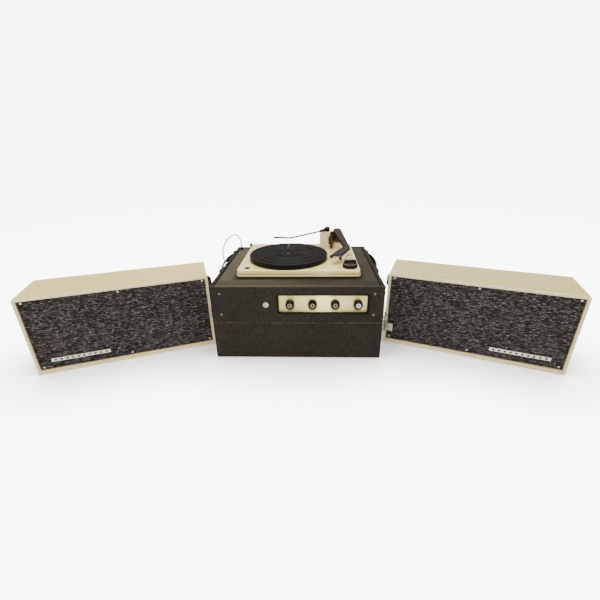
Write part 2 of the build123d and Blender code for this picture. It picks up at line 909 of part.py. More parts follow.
def tower_housing():
    x, y, width, depth = tower_x, tower_y, tower_width, tower_depth
    low = Pos(x, y, deck_top) * RectangleRounded(width, depth, tower_round)
    high = Pos(x, y - tower_slope / 2, tower_top) * RectangleRounded(width, depth - tower_slope, tower_round)
    shell = loft([low, high])
    shell = fillet(shell.edges().group_by(Axis.Z)[-1], tower_crown_round)
    wall = 2 * tower_wall
    inner_low = Pos(x, y, deck_top) * RectangleRounded(width - wall, depth - wall, tower_round - tower_wall)
    inner_high = Pos(x, y - tower_slope / 2, tower_top - tower_wall) * RectangleRounded(
        width - wall, depth - tower_slope - wall, tower_round - tower_wall)
    shell -= loft([inner_low, inner_high])
    shell += post(overarm_x, overarm_y, tower_top - tower_boss_depth, tower_top, overarm_collar_radius)
    return shell - post(overarm_x, overarm_y, overarm_post_low, tower_top, overarm_post_radius + running)


def overarm_post():
    collar = tower_top + seat_gap
    top = collar + overarm_hub_height - overarm_hub_cap
    body = post(overarm_x, overarm_y, overarm_post_low, top, overarm_post_radius)
    return body + post(overarm_x, overarm_y, collar, collar + overarm_collar, overarm_collar_radius)


def overarm_low():
    return tower_top + 2 * seat_gap + overarm_collar


def overarm():
    # A hub, a tapered root, a thin rod and a flat end piece that lies over the spindle.
    low = overarm_low()
    high = low + overarm_hub_height
    middle = (low + high) / 2
    hub = fillet(post(overarm_x, overarm_y, low, high, overarm_hub_radius).edges().group_by(Axis.Z)[-1],
                 overarm_hub_round)
    start = (overarm_x, overarm_y, middle)
    root = (overarm_x + overarm_root[0], overarm_y + overarm_root[1], middle)
    run = Vector(*root) - Vector(*start)
    plane = Plane(origin=start, x_dir=(0, 0, 1), z_dir=run)
    inset = 2 * overarm_shank_inset
    thick = RectangleRounded(overarm_hub_height - inset, 2 * overarm_hub_radius - inset, overarm_hub_round)
    thin = RectangleRounded(overarm_rod, overarm_rod, overarm_tip_round)
    shank = loft([plane * thick, plane.offset(run.length) * thin])
    bend = (platter_x + overarm_bend[0], platter_y + overarm_bend[1], middle)
    rod = rod_between(root, bend, overarm_rod / 2) + Pos(*bend) * Sphere(overarm_rod / 2)
    rod += Pos(*root) * Sphere(overarm_rod / 2)
    tip = (platter_x + overarm_tip[0], platter_y + overarm_tip[1], middle)
    lie = Vector(*tip) - Vector(*bend)
    end_plane = Plane(origin=bend, x_dir=(0, 0, 1), z_dir=lie)
    flat = RectangleRounded(overarm_tip_thickness, overarm_tip_width, overarm_tip_round)
    end = extrude(end_plane * flat, lie.length)
    bore_top = tower_top + seat_gap + overarm_hub_height - overarm_hub_cap + seat_gap
    bore = post(overarm_x, overarm_y, low, bore_top, overarm_post_radius + running)
    return hub + shank + rod + end - bore


def tonearm_base():
    body = post(arm_x, arm_y, deck_top, deck_top + arm_base_foot, arm_base_foot_radius)
    body += taper(arm_x, arm_y, deck_top + arm_base_foot, arm_base_top, arm_base_radius,
                  arm_base_radius - arm_base_taper)
    return body + post(arm_x, arm_y, arm_base_top, arm_pin_top, arm_pin_radius)


def tonearm_gimbal():
    low = arm_base_top + seat_gap
    half = gimbal_depth / 2
    web = block(arm_x - gimbal_outer, arm_x + gimbal_outer, arm_y - half, arm_y + half, low, low + gimbal_web)
    web += post(arm_x, arm_y, low, low + gimbal_web, gimbal_inner)
    for side in (-1, 1):
        near = arm_x + side * gimbal_inner
        far = arm_x + side * gimbal_outer
        web += block(min(near, far), max(near, far), arm_y - half, arm_y + half, low, arm_pivot_z + half)
        end = far + side * trunnion_length
        web += rod_x(arm_y, arm_pivot_z, min(far, end), max(far, end), trunnion_radius)
    return web - post(arm_x, arm_y, low, low + gimbal_web, arm_pin_radius + running)


def arm_place():
    return Pos(arm_x, arm_y, arm_pivot_z) * Rot(arm_tilt, 0, 0)


def arm_point(x, y):
    # From places seen from above, counted from the pivot, to the tilted plan of the shell.
    return x, y / cos(radians(arm_tilt))


def arm_outline(inset=0.0):
    # The plan of the shell: a round rear, a long tapering shank and a pointed head that turns in.
    rear = arm_rear_radius
    reach = arm_rear_reach
    line = Line((rear, reach), arm_point(*arm_bend_outer))
    line += Line(arm_point(*arm_bend_outer), arm_point(*arm_head_corner))
    line += Line(arm_point(*arm_head_corner), arm_point(*arm_head_tip))
    line += Line(arm_point(*arm_head_tip), arm_point(*arm_bend_inner))
    line += Line(arm_point(*arm_bend_inner), (-rear, reach))
    line += ThreePointArc((-rear, reach), (0, reach + rear), (rear, reach))
    face = make_face(line)
    corners = face.vertices().group_by(Axis.Y)
    face = fillet(corners[0], arm_head_round)
    face = fillet([v for v in face.vertices() if abs(v.Y - arm_point(*arm_head_corner)[1]) < 1
                   and v.X > arm_point(*cartridge_place)[0]], arm_corner_round)
    return offset(face, -inset) if inset else face


def tonearm_shell():
    low = -arm_below_pivot
    high = arm_above_pivot
    body = extrude(Pos(0, 0, low) * arm_outline(), high - low)
    body = fillet(body.faces().sort_by(Axis.Z)[-1].edges(), arm_edge_round)
    head_y = arm_point(*arm_head_tip)[1]
    wide = 4 * arm_rear_radius + abs(head_y)
    rear_y = arm_rear_radius + arm_rear_reach
    below = low - cut_past
    under = make_face(Polyline((rear_y, below), (0, low), (head_y, high - arm_head_thickness),
                               (head_y, below), close=True))
    body -= Pos(-wide / 2, 0, 0) * extrude(Plane.YZ * under, wide)
    body -= extrude(Pos(0, 0, low) * arm_outline(arm_wall), high - arm_wall - low)
    body -= rod_x(0, 0, -2 * arm_rear_radius, 2 * arm_rear_radius, trunnion_radius + running)
    screw = post(0, arm_screw_y, high, high + arm_screw_height, arm_screw_radius)
    return arm_place() * (body + screw)


def finger_lift():
    # A bright blade along the head's front edge, bent out under it.
    corner = Vector(*arm_point(*arm_head_corner))
    tip = Vector(*arm_point(*arm_head_tip))
    run = tip - corner
    turn = degrees(atan2(run.Y, run.X))
    high = arm_above_pivot - lift_blade_drop
    blade = block(lift_blade_start, lift_blade_start + lift_blade_length, seat_gap, lift_blade_width,
                  high - lift_blade_sheet, high)
    blade = fillet(blade.edges().filter_by(Axis.Z).group_by(Axis.Y)[-1], lift_blade_round)
    return arm_place() * (Pos(corner.X, corner.Y, 0) * Rot(0, 0, turn) * blade)


def cartridge():
    roof = arm_above_pivot - arm_wall
    x, y = arm_point(*cartridge_place)
    body = block(-cartridge_width / 2, cartridge_width / 2, -cartridge_length / 2, cartridge_length / 2,
                 roof - cartridge_height, roof)
    body = arm_place() * (Pos(x, y, 0) * Rot(0, 0, -cartridge_turn) * body)
    turn = radians(cartridge_turn)
    reach = cartridge_length / 2 - stylus_inset
    at = (arm_x + cartridge_place[0] - reach * sin(turn), arm_y + cartridge_place[1] - reach * cos(turn))
    tip_z = platter_high + mat_thickness + stylus_over_mat
    needle = taper(*at, tip_z, tip_z + stylus_length, stylus_point, stylus_radius)
    return body + needle


def arm_underside(y):
    # Height of the shell's lower edge above a place on the deck in front of the pivot.
    tilt = radians(arm_tilt)
    along = (y - arm_y) / cos(tilt)
    head = arm_point(*arm_head_tip)[1]
    local = -arm_below_pivot + (arm_above_pivot - arm_head_thickness + arm_below_pivot) * along / head
    return arm_pivot_z + along * sin(tilt) + local * cos(tilt)


def rest_post():
    wide, deep, tall = rest_saddle
    rest_top = arm_underside(rest_y - deep / 2) - seat_gap
    body = post(rest_x, rest_y, deck_top, rest_top - tall, rest_radius)
    body += post(rest_x, rest_y, deck_top, deck_top + rest_foot, rest_foot_radius)
    return body + block(rest_x - wide / 2, rest_x + wide / 2, rest_y - deep / 2, rest_y + deep / 2,
                        rest_top - tall, rest_top)


def selector_knob():
    low = deck_top + seat_gap
    x, y = selector_x, selector_y
    skirt = taper(x, y, low, low + selector_skirt, selector_radius, selector_radius - selector_taper)
    skirt = fillet(skirt.edges().group_by(Axis.Z)[-1], selector_round)
    step_low = low + selector_skirt
    body = skirt + post(x, y, step_low, step_low + selector_step, selector_step_radius)
    long, wide, tall = selector_grip
    grip = slab(0, 0, long, wide, step_low + selector_step, step_low + selector_step + tall,
                selector_grip_end)
    grip = fillet(grip.edges().group_by(Axis.Z)[-1], selector_grip_round)
    body += Pos(x, y, 0) * Rot(0, 0, selector_turn) * grip
    return body + post(x, y, deck_top - selector_shaft_depth, low, selector_shaft_radius)


def speed_lever():
    low = deck_top + seat_gap
    high = low + lever_height
    disc = fillet(post(lever_x, lever_y, low, high, lever_radius).edges().group_by(Axis.Z)[-1], lever_round)
    tab = slab(lever_length / 2, 0, lever_length, lever_width, low + lever_tab_inset, high - lever_tab_inset,
               lever_tab_end)
    disc += Pos(lever_x, lever_y, 0) * Rot(0, 0, lever_direction) * tab
    return disc + post(lever_x, lever_y, deck_top - lever_stem, low, stud_radius)


def transport_screws():
    screws = []
    for x, y in transport_screws_at:
        head = post(x, y, deck_top, deck_top + transport_head, transport_head_radius)
        head -= block(x - transport_head_radius, x + transport_head_radius,
                      y - transport_slot / 2, y + transport_slot / 2,
                      deck_top + transport_head / 2, deck_top + transport_head)
        screws.append(head + post(x, y, deck_top - transport_shank, deck_top, transport_shank_radius))
    return screws


def wire_clip():
    body = block(clip_x - clip_width / 2, clip_x + clip_width / 2, clip_y - clip_depth / 2,
                 clip_y + clip_depth / 2, case_height, case_height + clip_height)
    body = fillet(body.edges().filter_by(Axis.Z), clip_round)
    start = (clip_x, clip_y, case_height + clip_height - clip_wire_inset)
    apex = (clip_x + clip_apex[0], clip_y + clip_apex[1], case_height + clip_apex[2])
    end = (deck_left + clip_wire_end_inset[0], deck_back - clip_wire_end_inset[1],
           deck_top + seat_gap + clip_wire_radius)
    wire = rod_between(start, apex, clip_wire_radius) + rod_between(apex, end, clip_wire_radius)
    bead = Sphere(clip_wire_radius)
    return body + wire + Pos(*apex) * bead + Pos(*end) * bead


# Loudspeaker boxes are drawn with the inner end at X = 0, running to +X, and the front at Y = 0.
def speaker_case():
    width, depth, height = speaker_width, speaker_depth, speaker_height
    body = block(0, width, 0, depth, 0, height)
    body = fillet(body.edges().filter_by(Axis.Y), edge_round)
    body = fillet(body.edges().group_by(Axis.Y)[-1], speaker_edge_round)
    body -= block(speaker_side, width - speaker_side, 0, depth - speaker_back, speaker_bottom,
                  height - speaker_side)
    seat = grille_recess + grille_thickness
    frame = block(speaker_side, width - speaker_side, seat, seat + grille_batten, speaker_bottom,
                  height - speaker_side)
    frame -= block(speaker_side + grille_batten, width - speaker_side - grille_batten, seat,
                   seat + grille_batten, speaker_bottom + grille_batten,
                   height - speaker_side - grille_batten)
    return body + frame


def grille_board():
    seat = grille_recess + grille_thickness
    body = block(speaker_side + grille_gap, speaker_width - speaker_side - grille_gap, grille_recess, seat,
                 speaker_bottom + grille_gap, speaker_height - speaker_side - grille_gap)
    for x, radius in ((woofer_x, woofer_opening), (tweeter_x, tweeter_opening)):
        body -= rod_y(x, driver_z, grille_recess + grille_skin, seat, radius)
    for x, z in grille_screw_places:
        body -= rod_y(x, z, grille_recess, seat, grille_screw_shank + fixing)
    return body


def driver(x, radius, opening, depth, magnet_radius, magnet_height, neck_radius, throat, cone_depth):
    seat = grille_recess + grille_thickness
    magnet_start = depth - magnet_height
    points = [(0, depth), (magnet_radius, depth), (magnet_radius, magnet_start), (neck_radius, magnet_start),
              (opening, driver_flange), (radius, driver_flange), (radius, 0), (opening - surround, 0),
              (throat, cone_depth), (0, cone_depth)]
    return Pos(x, seat, driver_z) * Rot(-90, 0, 0) * turned(points)


def drivers():
    woofer = driver(woofer_x, woofer_radius, woofer_opening, woofer_depth, woofer_magnet_radius,
                    woofer_magnet_height, woofer_neck_radius, woofer_throat, woofer_cone_depth)
    tweeter = driver(tweeter_x, tweeter_radius, tweeter_opening, tweeter_depth, tweeter_magnet_radius,
                     tweeter_magnet_height, tweeter_neck_radius, tweeter_throat, tweeter_cone_depth)
    return [woofer, tweeter]


def badge_bar():
    end = speaker_width - badge_inset
    bar = block(end - badge_length, end, grille_recess - badge_sheet, grille_recess,
                badge_z - badge_height / 2, badge_z + badge_height / 2)
    return fillet(bar.edges().group_by(Axis.Y)[0], badge_round)


def grille_screws():
    screws = []
    for x, z in grille_screw_places:
        head = rod_y(x, z, grille_recess - grille_screw_head, grille_recess, grille_screw_radius)
        head = fillet(head.edges().group_by(Axis.Y)[0], grille_screw_round)
        screws.append(head + rod_y(x, z, grille_recess, grille_recess + grille_thickness, grille_screw_shank))
    return screws


def speaker_strap():
    end = Pos(0, speaker_depth / 2, speaker_strap_z) * Rot(0, 0, 180)
    return end * strap(speaker_strap_length, speaker_strap_width, speaker_strap_rise)


def latch_plate():
    # An angle on the inner front edge, with two knuckles, a hinge pin and a round stud.
    sheet = latch_sheet
    body = block(-sheet, 0, -sheet, latch_reach, latch_low, latch_high)
    body += block(-sheet, latch_front, -sheet, 0, latch_low, latch_high)
    for low in (hasp_low - seat_gap - knuckle_length, hasp_high + seat_gap):
        knuckle = post(latch_axis_x, latch_axis_y, low, low + knuckle_length, knuckle_radius)
        web = block(latch_axis_x, -sheet / 2, latch_axis_y, -sheet / 2, low, low + knuckle_length)
        body += knuckle + web
    body += post(latch_axis_x, latch_axis_y, hasp_low - knuckle_length, hasp_high + knuckle_length,
                 latch_pin_radius)
    neck = rod_y(stud_ball_x, stud_ball_z, -sheet - stud_neck_length, -sheet, stud_neck_radius)
    ball = Pos(stud_ball_x, -sheet - stud_stand - stud_ball_radius, stud_ball_z) * Sphere(stud_ball_radius)
    return body + neck + ball


def latch_hasp():
    # A leaf on the hinge pin, swung open in front of the grille, with a curled lip.
    x, y = latch_axis_x, latch_axis_y
    leaf = post(x, y, hasp_low, hasp_high, knuckle_radius)
    leaf += block(x, hasp_reach, y - hasp_sheet / 2, y + hasp_sheet / 2, hasp_low, hasp_high)
    leaf += block(hasp_reach - hasp_sheet, hasp_reach, y - hasp_lip, y, hasp_low, hasp_high)
    return leaf - post(x, y, hasp_low, hasp_high, latch_pin_radius + running)


def catch_plate():
    sheet = latch_sheet
    body = block(-sheet, 0, -sheet, latch_reach, catch_low, catch_high)
    body += block(-sheet, latch_front, -sheet, 0, catch_low, catch_high)
    return body + block(-sheet - catch_lip, -sheet, catch_lip_x, catch_lip_x + sheet,
                        catch_low + catch_lip_inset, catch_high - catch_lip_inset)


def speaker_pieces():
    return {"speaker_case": speaker_case(), "grille_board": grille_board(), "drivers": drivers(),
            "badge_bar": badge_bar(), "grille_screws": grille_screws(), "speaker_strap": speaker_strap()}


def placed(solids, place, flip):
    solids = solids if isinstance(solids, list) else [solids]
    return [place * (mirror(solid, Plane.YZ) if flip else solid) for solid in solids]


def add_speakers():
    left = Pos(*speaker_corner_left, 0) * Rot(0, 0, speaker_turn)
    right = Pos(*speaker_corner_right, 0) * Rot(0, 0, -speaker_turn)
    for side, place, flip in (("left", left, True), ("right", right, False)):
        for name, solids in speaker_pieces().items():
            nodes[f"{name}_{side}"] = placed(solids, place, flip)
    nodes["latch_plate"] = placed(latch_plate(), right, False)
    nodes["latch_hasp"] = placed(latch_hasp(), right, False)
    nodes["catch_plate"] = placed(catch_plate(), left, True)


# The free stretch of the lead, from its boot in the board, over the back rim and down to the coil.
lead_route = [
    (*lead_exit, boot_top),
    (*lead_exit, case_height + 29.5),
    (-case_width / 2 + 9.0, back - 26.6, case_height + 45.0),
    (-case_width / 2 - 9.6, back - 12.5, case_height + 47.4),
    (-case_width / 2 - 32.0, back - 1.5, case_height + 32.0),
    (-case_width / 2 - 51.0, back + 6.5, case_height + 7.5),
    (-case_width / 2 - 62.0, back + 12.5, 183.0),
    (-case_width / 2 - 61.0, back + 17.5, 148.0),
    (-case_width / 2 - 51.0, back + 23.5, 108.0),
    (-case_width / 2 - 44.0, back + 26.5, 66.0),
    (-case_width / 2 - 27.0, back + 28.0, 26.0),
    (-case_width / 2 - 2.0, back + 26.5, lead_radius + 0.6),
    (-case_width / 2 + 24.0, back + 21.5, lead_radius),
    (-case_width / 2 + 46.0, coil_start_y, lead_radius),
    (coil_start_x, coil_start_y, lead_radius),
]


def lead_path():
    points = [Vector(*point) for point in lead_route]
    radii = []
    for before, at, after in zip(points, points[1:], points[2:]):
        run = min((at - before).length, (after - at).length)
        turn = radians((at - before).get_angle(after - at))
        radii.append(arc_share * run / tan(turn / 2))
    print("lead radii", [round(radius, 1) for radius in radii])
    return FilletPolyline(*points, radius=radii)


def tube(path):
    section = Plane(origin=path @ 0, z_dir=path % 0) * Circle(lead_radius)
    return sweep(section, path=path)


def coil_path():
    # Half circles about two centres, half a turn's pitch apart, wind in on the floor; a half turn
    # of two arcs climbs a layer at the smallest radius; half circles then wind out again.
    pitch = lead_diameter + coil_gap
    arcs = []
    outermost = coil_inner_radius + coil_lower_halves * pitch / 2
    x, side = -outermost, 1
    for half in range(coil_lower_halves):
        radius = outermost - half * pitch / 2
        middle = x + side * radius
        arcs.append(ThreePointArc((x, 0, 0), (middle, -side * radius, 0), (middle + side * radius, 0, 0)))
        x = middle + side * radius
        side = -side
    rise = Vector(0, sqrt(coil_inner_radius ** 2 + pitch ** 2 / 4), pitch / 2)
    centre = x - coil_inner_radius
    crest = Vector(centre, 0, 0) + rise
    far = Vector(centre - coil_inner_radius, 0, pitch)
    climb = TangentArc((x, 0, 0), crest, tangent=(0, 1, 0))
    fall = TangentArc(crest, far, tangent=climb % 1)
    arcs += [climb, fall]
    x, side = far.X, 1
    for half in range(coil_upper_halves):
        radius = coil_inner_radius + (half + 1) * pitch / 2
        middle = x + side * radius
        arcs.append(ThreePointArc((x, 0, pitch), (middle, -side * radius, pitch),
                                  (middle + side * radius, 0, pitch)))
        x = middle + side * radius
        side = -side
    start = Line((-outermost, lead_diameter, 0), (-outermost, 0, 0))
    end = Line((x, 0, pitch), (x, -coil_tail, pitch))
    return Wire([start.edge(), *[arc.edge() for arc in arcs], end.edge()]), outermost, x, pitch


def least_gap(wire):
    # The least distance between stretches of the line that are about half a turn or more apart.
    count = int(wire.length / coil_sample)
    points = [wire @ (i / count) for i in range(count + 1)]
    skip = int(pi * (coil_inner_radius - lead_radius) / coil_sample)
    return min((points[i] - points[j]).length for i in range(count + 1) for j in range(i + skip, count + 1))


def lead_coil():
    wire, outermost, end_x, pitch = coil_path()
    print("coil gap", round(least_gap(wire) - lead_diameter, 2), "length", round(wire.length, 1))
    turn = Rot(0, 0, 90)
    place = Pos(coil_start_x + lead_diameter, coil_start_y + outermost, lead_radius)
    section = Plane(origin=wire @ 0, z_dir=wire % 0) * Circle(lead_radius)
    solid = sweep(section, path=wire)
    end = place * turn * Pos(end_x, -coil_tail, pitch)
    return place * turn * solid, end.position


def mains_plug(end):
    # A flat two-pin plug that lies on the floor, its cord entry at the end of the coil.
    x, y, z = end
    body = block(x + plug_neck - plug_neck_overlap, x + plug_length, y - plug_width / 2, y + plug_width / 2,
                 0, 2 * z)
    body = fillet(body.edges(), plug_round)
    neck_plane = Plane(origin=(x, y, z), z_dir=(1, 0, 0))
    neck = loft([neck_plane * Circle(lead_radius + plug_neck_wall),
                 neck_plane.offset(plug_neck) * Circle(z - plug_neck_inset)])
    body += neck
    for side in (-1, 1):
        pin_y = y + side * plug_pin_pitch / 2
        pin = rod_x(pin_y, z, x + plug_length - plug_pin_hold,
                    x + plug_length + plug_pin_length, plug_pin_radius)
        body += fillet(pin.edges().group_by(Axis.X)[-1], plug_pin_round)
    return body


def lead_boot():
    body = post(*lead_exit, case_height, case_height + boot_flange, boot_flange_radius)
    body += post(*lead_exit, board_low, case_height, boot_radius)
    return body + taper(*lead_exit, case_height + boot_flange, boot_top, boot_radius, boot_end_radius)


def add_lead():
    path = lead_path()
    free = tube(path)
    print("lead length", round(path.length, 1), "volume ratio",
          round(free.volume / (pi * lead_radius ** 2 * path.length), 4))
    coil, end = lead_coil()
    nodes["mains_lead"] = free
    nodes["lead_coil"] = coil
    nodes["mains_plug"] = mains_plug(end)
    nodes["lead_boot"] = lead_boot()


def add_cabinet():
    for make in (lower_case, rubber_feet, upper_case, front_panel, motor_board, control_plate, potentiometers,
                 front_screws, pilot_lens, amplifier_chassis, transformers, valves, back_panel,
                 speaker_sockets, carry_straps, strap_caps):
        nodes[make.__name__] = make()
    for number, x in enumerate(knob_places, 1):
        nodes[f"control_knob_{number}"] = control_knob(x)


def add_changer():
    for make in (changer_plate, suspension_mounts, record_spindle, drive_motor, platter, platter_mat,
                 tower_housing, overarm_post, overarm, tonearm_base, tonearm_gimbal, tonearm_shell,
                 finger_lift, cartridge, rest_post, selector_knob, speed_lever, transport_screws, wire_clip):
        nodes[make.__name__] = make()
    nodes["idler_wheel"] = wheel(idler_place(), idler_radius)
    nodes["motor_pulley"] = wheel(pulley_place(), pulley_radius)


add_cabinet()
add_changer()
add_speakers()
add_lead()

os.makedirs("parts", exist_ok=True)
for name, solids in nodes.items():
    shape = Compound(solids) if isinstance(solids, list) else solids
    export_step(shape, f"parts/{name}.step")
print(len(nodes), "nodes")
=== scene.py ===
import math

import bmesh
import bpy
import numpy as np
from mathutils import Matrix, Vector


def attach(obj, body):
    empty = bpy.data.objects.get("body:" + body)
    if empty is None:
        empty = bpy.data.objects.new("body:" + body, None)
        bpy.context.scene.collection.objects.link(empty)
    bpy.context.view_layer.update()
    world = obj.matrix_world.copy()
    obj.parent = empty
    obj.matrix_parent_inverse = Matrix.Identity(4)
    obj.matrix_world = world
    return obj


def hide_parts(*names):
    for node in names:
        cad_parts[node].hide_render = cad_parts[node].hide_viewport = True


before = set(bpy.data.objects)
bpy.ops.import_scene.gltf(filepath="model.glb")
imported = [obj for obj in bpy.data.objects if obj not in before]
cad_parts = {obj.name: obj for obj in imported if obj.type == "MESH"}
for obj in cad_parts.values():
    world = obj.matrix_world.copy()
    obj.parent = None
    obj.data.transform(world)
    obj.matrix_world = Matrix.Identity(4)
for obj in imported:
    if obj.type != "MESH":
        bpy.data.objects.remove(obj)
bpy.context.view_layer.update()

MM = 0.001

# Places that pieces and finishes share, in metres, as in the frame. Pairs are across and up, or x and y
case_low, case_high = (-0.22, -0.185, 0.0), (0.22, 0.185, 0.208)
board_low, board_high = (-0.209, -0.173, 0.19), (0.209, 0.167, 0.208)
case_seam = 0.1071
window_centre, window_half = (0.0664, 0.1603), (0.1145, 0.0245)
window_lip = 0.1800
deck_centre, deck_half = (0.0025, 0.007), (0.164, 0.135)
deck_groove = 0.22
dark_streak_at, dark_streak_stretch = (0.045, -0.159, 0.208), (16.0, 260.0, 0.0)
stand_cream_top = 0.2475
platter_at = np.array([-0.029, -0.014, 0.0])
ring_pitch, rib_pitch = 0.0016, 0.0024
knob_count, knob_first, knob_pitch, knob_z = 4, -0.0178, 0.0577, 0.157
box_turn = math.radians(20.7)


# Camera, solved from the photo
camera_place = (0.038, -0.936, 0.518)
focal_length = 19.794
upward_shift = -0.0165
camera_pitch = math.radians(22.99)
camera_yaw = math.radians(-2.22)
camera_roll = math.radians(-0.90)


def camera_axes():
    """Right, up and forward directions of the camera, from its pitch, yaw and roll."""
    cy, sy = math.cos(camera_yaw), math.sin(camera_yaw)
    cp, sp = math.cos(camera_pitch), math.sin(camera_pitch)
    forward = np.array([sy * cp, cy * cp, -sp])
    right = np.array([cy, -sy, 0.0])
    up = np.cross(right, forward)
    cr, sr = math.cos(camera_roll), math.sin(camera_roll)
    return cr * right + sr * up, cr * up - sr * right, forward


def add_object(name, data):
    """A new object in the scene, at the origin."""
    obj = bpy.data.objects.new(name, data)
    bpy.context.collection.objects.link(obj)
    return obj


def make_camera():
    """The camera, its matrix made of its own axes."""
    data = bpy.data.cameras.new("photo_camera")
    data.sensor_width = 36.0
    data.lens = focal_length
    data.shift_y = upward_shift
    data.clip_end = 50.0
    cam = add_object("photo_camera", data)
    right, up, forward = camera_axes()
    m = Matrix.Identity(4)
    for i in range(3):
        m[i][0], m[i][1], m[i][2], m[i][3] = right[i], up[i], -forward[i], camera_place[i]
    cam.matrix_world = m
    bpy.context.scene.camera = cam


make_camera()


# Helpers: nodes
def shown(colour):
    """The linear value of a colour given as three display values of 0-255. Others stay as they are."""
    if isinstance(colour, Value) or len(colour) == 4:
        return colour
    parts = np.array(colour) / 255.0
    linear = np.where(parts <= 0.04045, parts / 12.92, ((parts + 0.055) / 1.055) ** 2.4)
    return (*linear.tolist(), 1.0)


def node_sign(operation, turned=False):
    """A method that adds one math node; turned puts the plain number first."""
    def method(self, other=0.0):
        """The math node of this sign, on the value and the other one."""
        first, second = (other, self) if turned else (self, other)
        return self.tree.math(operation, first, second)
    return method


class Value:
    """A node's output. An arithmetic sign on it adds a math node."""

    def __init__(self, tree, socket):
        """Keeps the tree that the output belongs to, and its socket."""
        self.tree = tree
        self.socket = socket

    __add__ = node_sign("ADD")
    __sub__ = node_sign("SUBTRACT")
    __rsub__ = node_sign("SUBTRACT", turned=True)
    __mul__ = node_sign("MULTIPLY")
    __truediv__ = node_sign("DIVIDE")
    __pow__ = node_sign("POWER")
    __abs__ = node_sign("ABSOLUTE")
    __gt__ = node_sign("GREATER_THAN")
    __lt__ = node_sign("LESS_THAN")


class Tree:
    """Short calls to build a node tree: every call adds a node and returns its output."""

    def __init__(self, tree):
        """Keeps the node tree that the calls add to."""
        self.tree = tree

    def put(self, socket, value):
        """Links a Value to a socket, or sets the socket to a plain value."""
        if isinstance(value, Value):
            self.tree.links.new(value.socket, socket)
        else:
            socket.default_value = value

    def node(self, kind, inputs=None, **settings):
        """A new shader node with these settings and inputs."""
        node = self.tree.nodes.new("ShaderNode" + kind)
        for key, value in settings.items():
            setattr(node, key, value)
        for key, value in (inputs or {}).items():
            self.put(node.inputs[key], value)
        return node

    def add(self, kind, inputs=None, out=0, **settings):
        """A new node's output, by its number."""
        return Value(self, self.node(kind, inputs, **settings).outputs[out])

    def place(self):
        """Object coordinates."""
        return self.add("TexCoord", out=3)

    def math(self, operation, a, b=0.0, c=None):
        """One math node of two or three values."""
        inputs = {0: a, 1: b} if c is None else {0: a, 1: b, 2: c}
        return self.add("Math", inputs, operation=operation)

    def vmath(self, operation, a, b=None, out=0):
        """One vector math node. Its output 1 is a plain number, such as a length."""
        inputs = {0: a} if b is None else {0: a, 1: b}
        return self.add("VectorMath", inputs, out=out, operation=operation)

    def mix(self, factor, a, b):
        """Colour a where the factor is 0, colour b where it is 1."""
        return self.add("Mix", {0: factor, 6: shown(a), 7: shown(b)}, out=2, data_type="RGBA")

    def ramp(self, factor, *stops):
        """A colour ramp of (position, colour) stops."""
        node = self.node("ValToRGB", {0: factor})
        elements = node.color_ramp.elements
        while len(elements) < len(stops):
            elements.new(0.5)
        for element, (position, colour) in zip(elements, stops):
            element.position = position
            element.color = shown(colour)
        return Value(self, node.outputs[0])

    def band(self, value, low, high, to_low=0.0, to_high=1.0):
        """value mapped from low..high to to_low..to_high, held at the ends."""
        return self.add("MapRange", {0: value, 1: low, 2: high, 3: to_low, 4: to_high})

    def split(self, vector):
        """A vector's three parts."""
        node = self.node("SeparateXYZ", {0: vector})
        return [Value(self, socket) for socket in node.outputs]

    def join(self, x=0.0, y=0.0, z=0.0):
        """A vector of three parts."""
        return self.add("CombineXYZ", {0: x, 1: y, 2: z})

    def noise(self, vector, scale, detail=2.0, rough=0.5):
        """Noise of about so many spots per metre."""
        inputs = {"Vector": vector, "Scale": scale, "Detail": detail, "Roughness": rough}
        return self.add("TexNoise", inputs)

    def streaks(self, vector, stretch, detail, rough):
        """Noise with its own number of spots per metre along each axis."""
        return self.noise(self.vmath("MULTIPLY", vector, stretch), 1.0, detail, rough)

    def reach(self, x, y):
        """The length of a line with these two sides."""
        return self.math("SQRT", x * x + y * y)

    def layers(self, colour, *layers):
        """A colour with others laid over it in turn, each through its own mask."""
        for mask, over in layers:
            colour = self.mix(mask, colour, over)
        return colour

    def group(self, name, *values):
        """A node group, fed in the order of its inputs. Gives its output, or all of them in order."""
        node = self.node("Group", node_tree=bpy.data.node_groups[name])
        for socket, value in zip(node.inputs, values):
            self.put(socket, value)
        outputs = [Value(self, socket) for socket in node.outputs]
        return outputs[0] if len(outputs) == 1 else outputs

    def give(self, end, **outputs):
        """Links the group's results to its output node."""
        for label, value in outputs.items():
            self.put(end.inputs[label], value)


vector_labels = ("UV", "Place", "Low", "High")


def new_group(name, inputs, outputs):
    """A node group with sockets of these labels. Returns its Tree, its inputs and its output node."""
    group = bpy.data.node_groups.new(name, "ShaderNodeTree")
    for in_out, labels in (("INPUT", inputs), ("OUTPUT", outputs)):
        for label in labels:
            kind = "NodeSocketVector" if label in vector_labels else "NodeSocketFloat"
            group.interface.new_socket(name=label, in_out=in_out, socket_type=kind)
    tree = Tree(group)
    start = group.nodes.new("NodeGroupInput")
    end = group.nodes.new("NodeGroupOutput")
    return tree, {socket.name: Value(tree, socket) for socket in start.outputs}, end


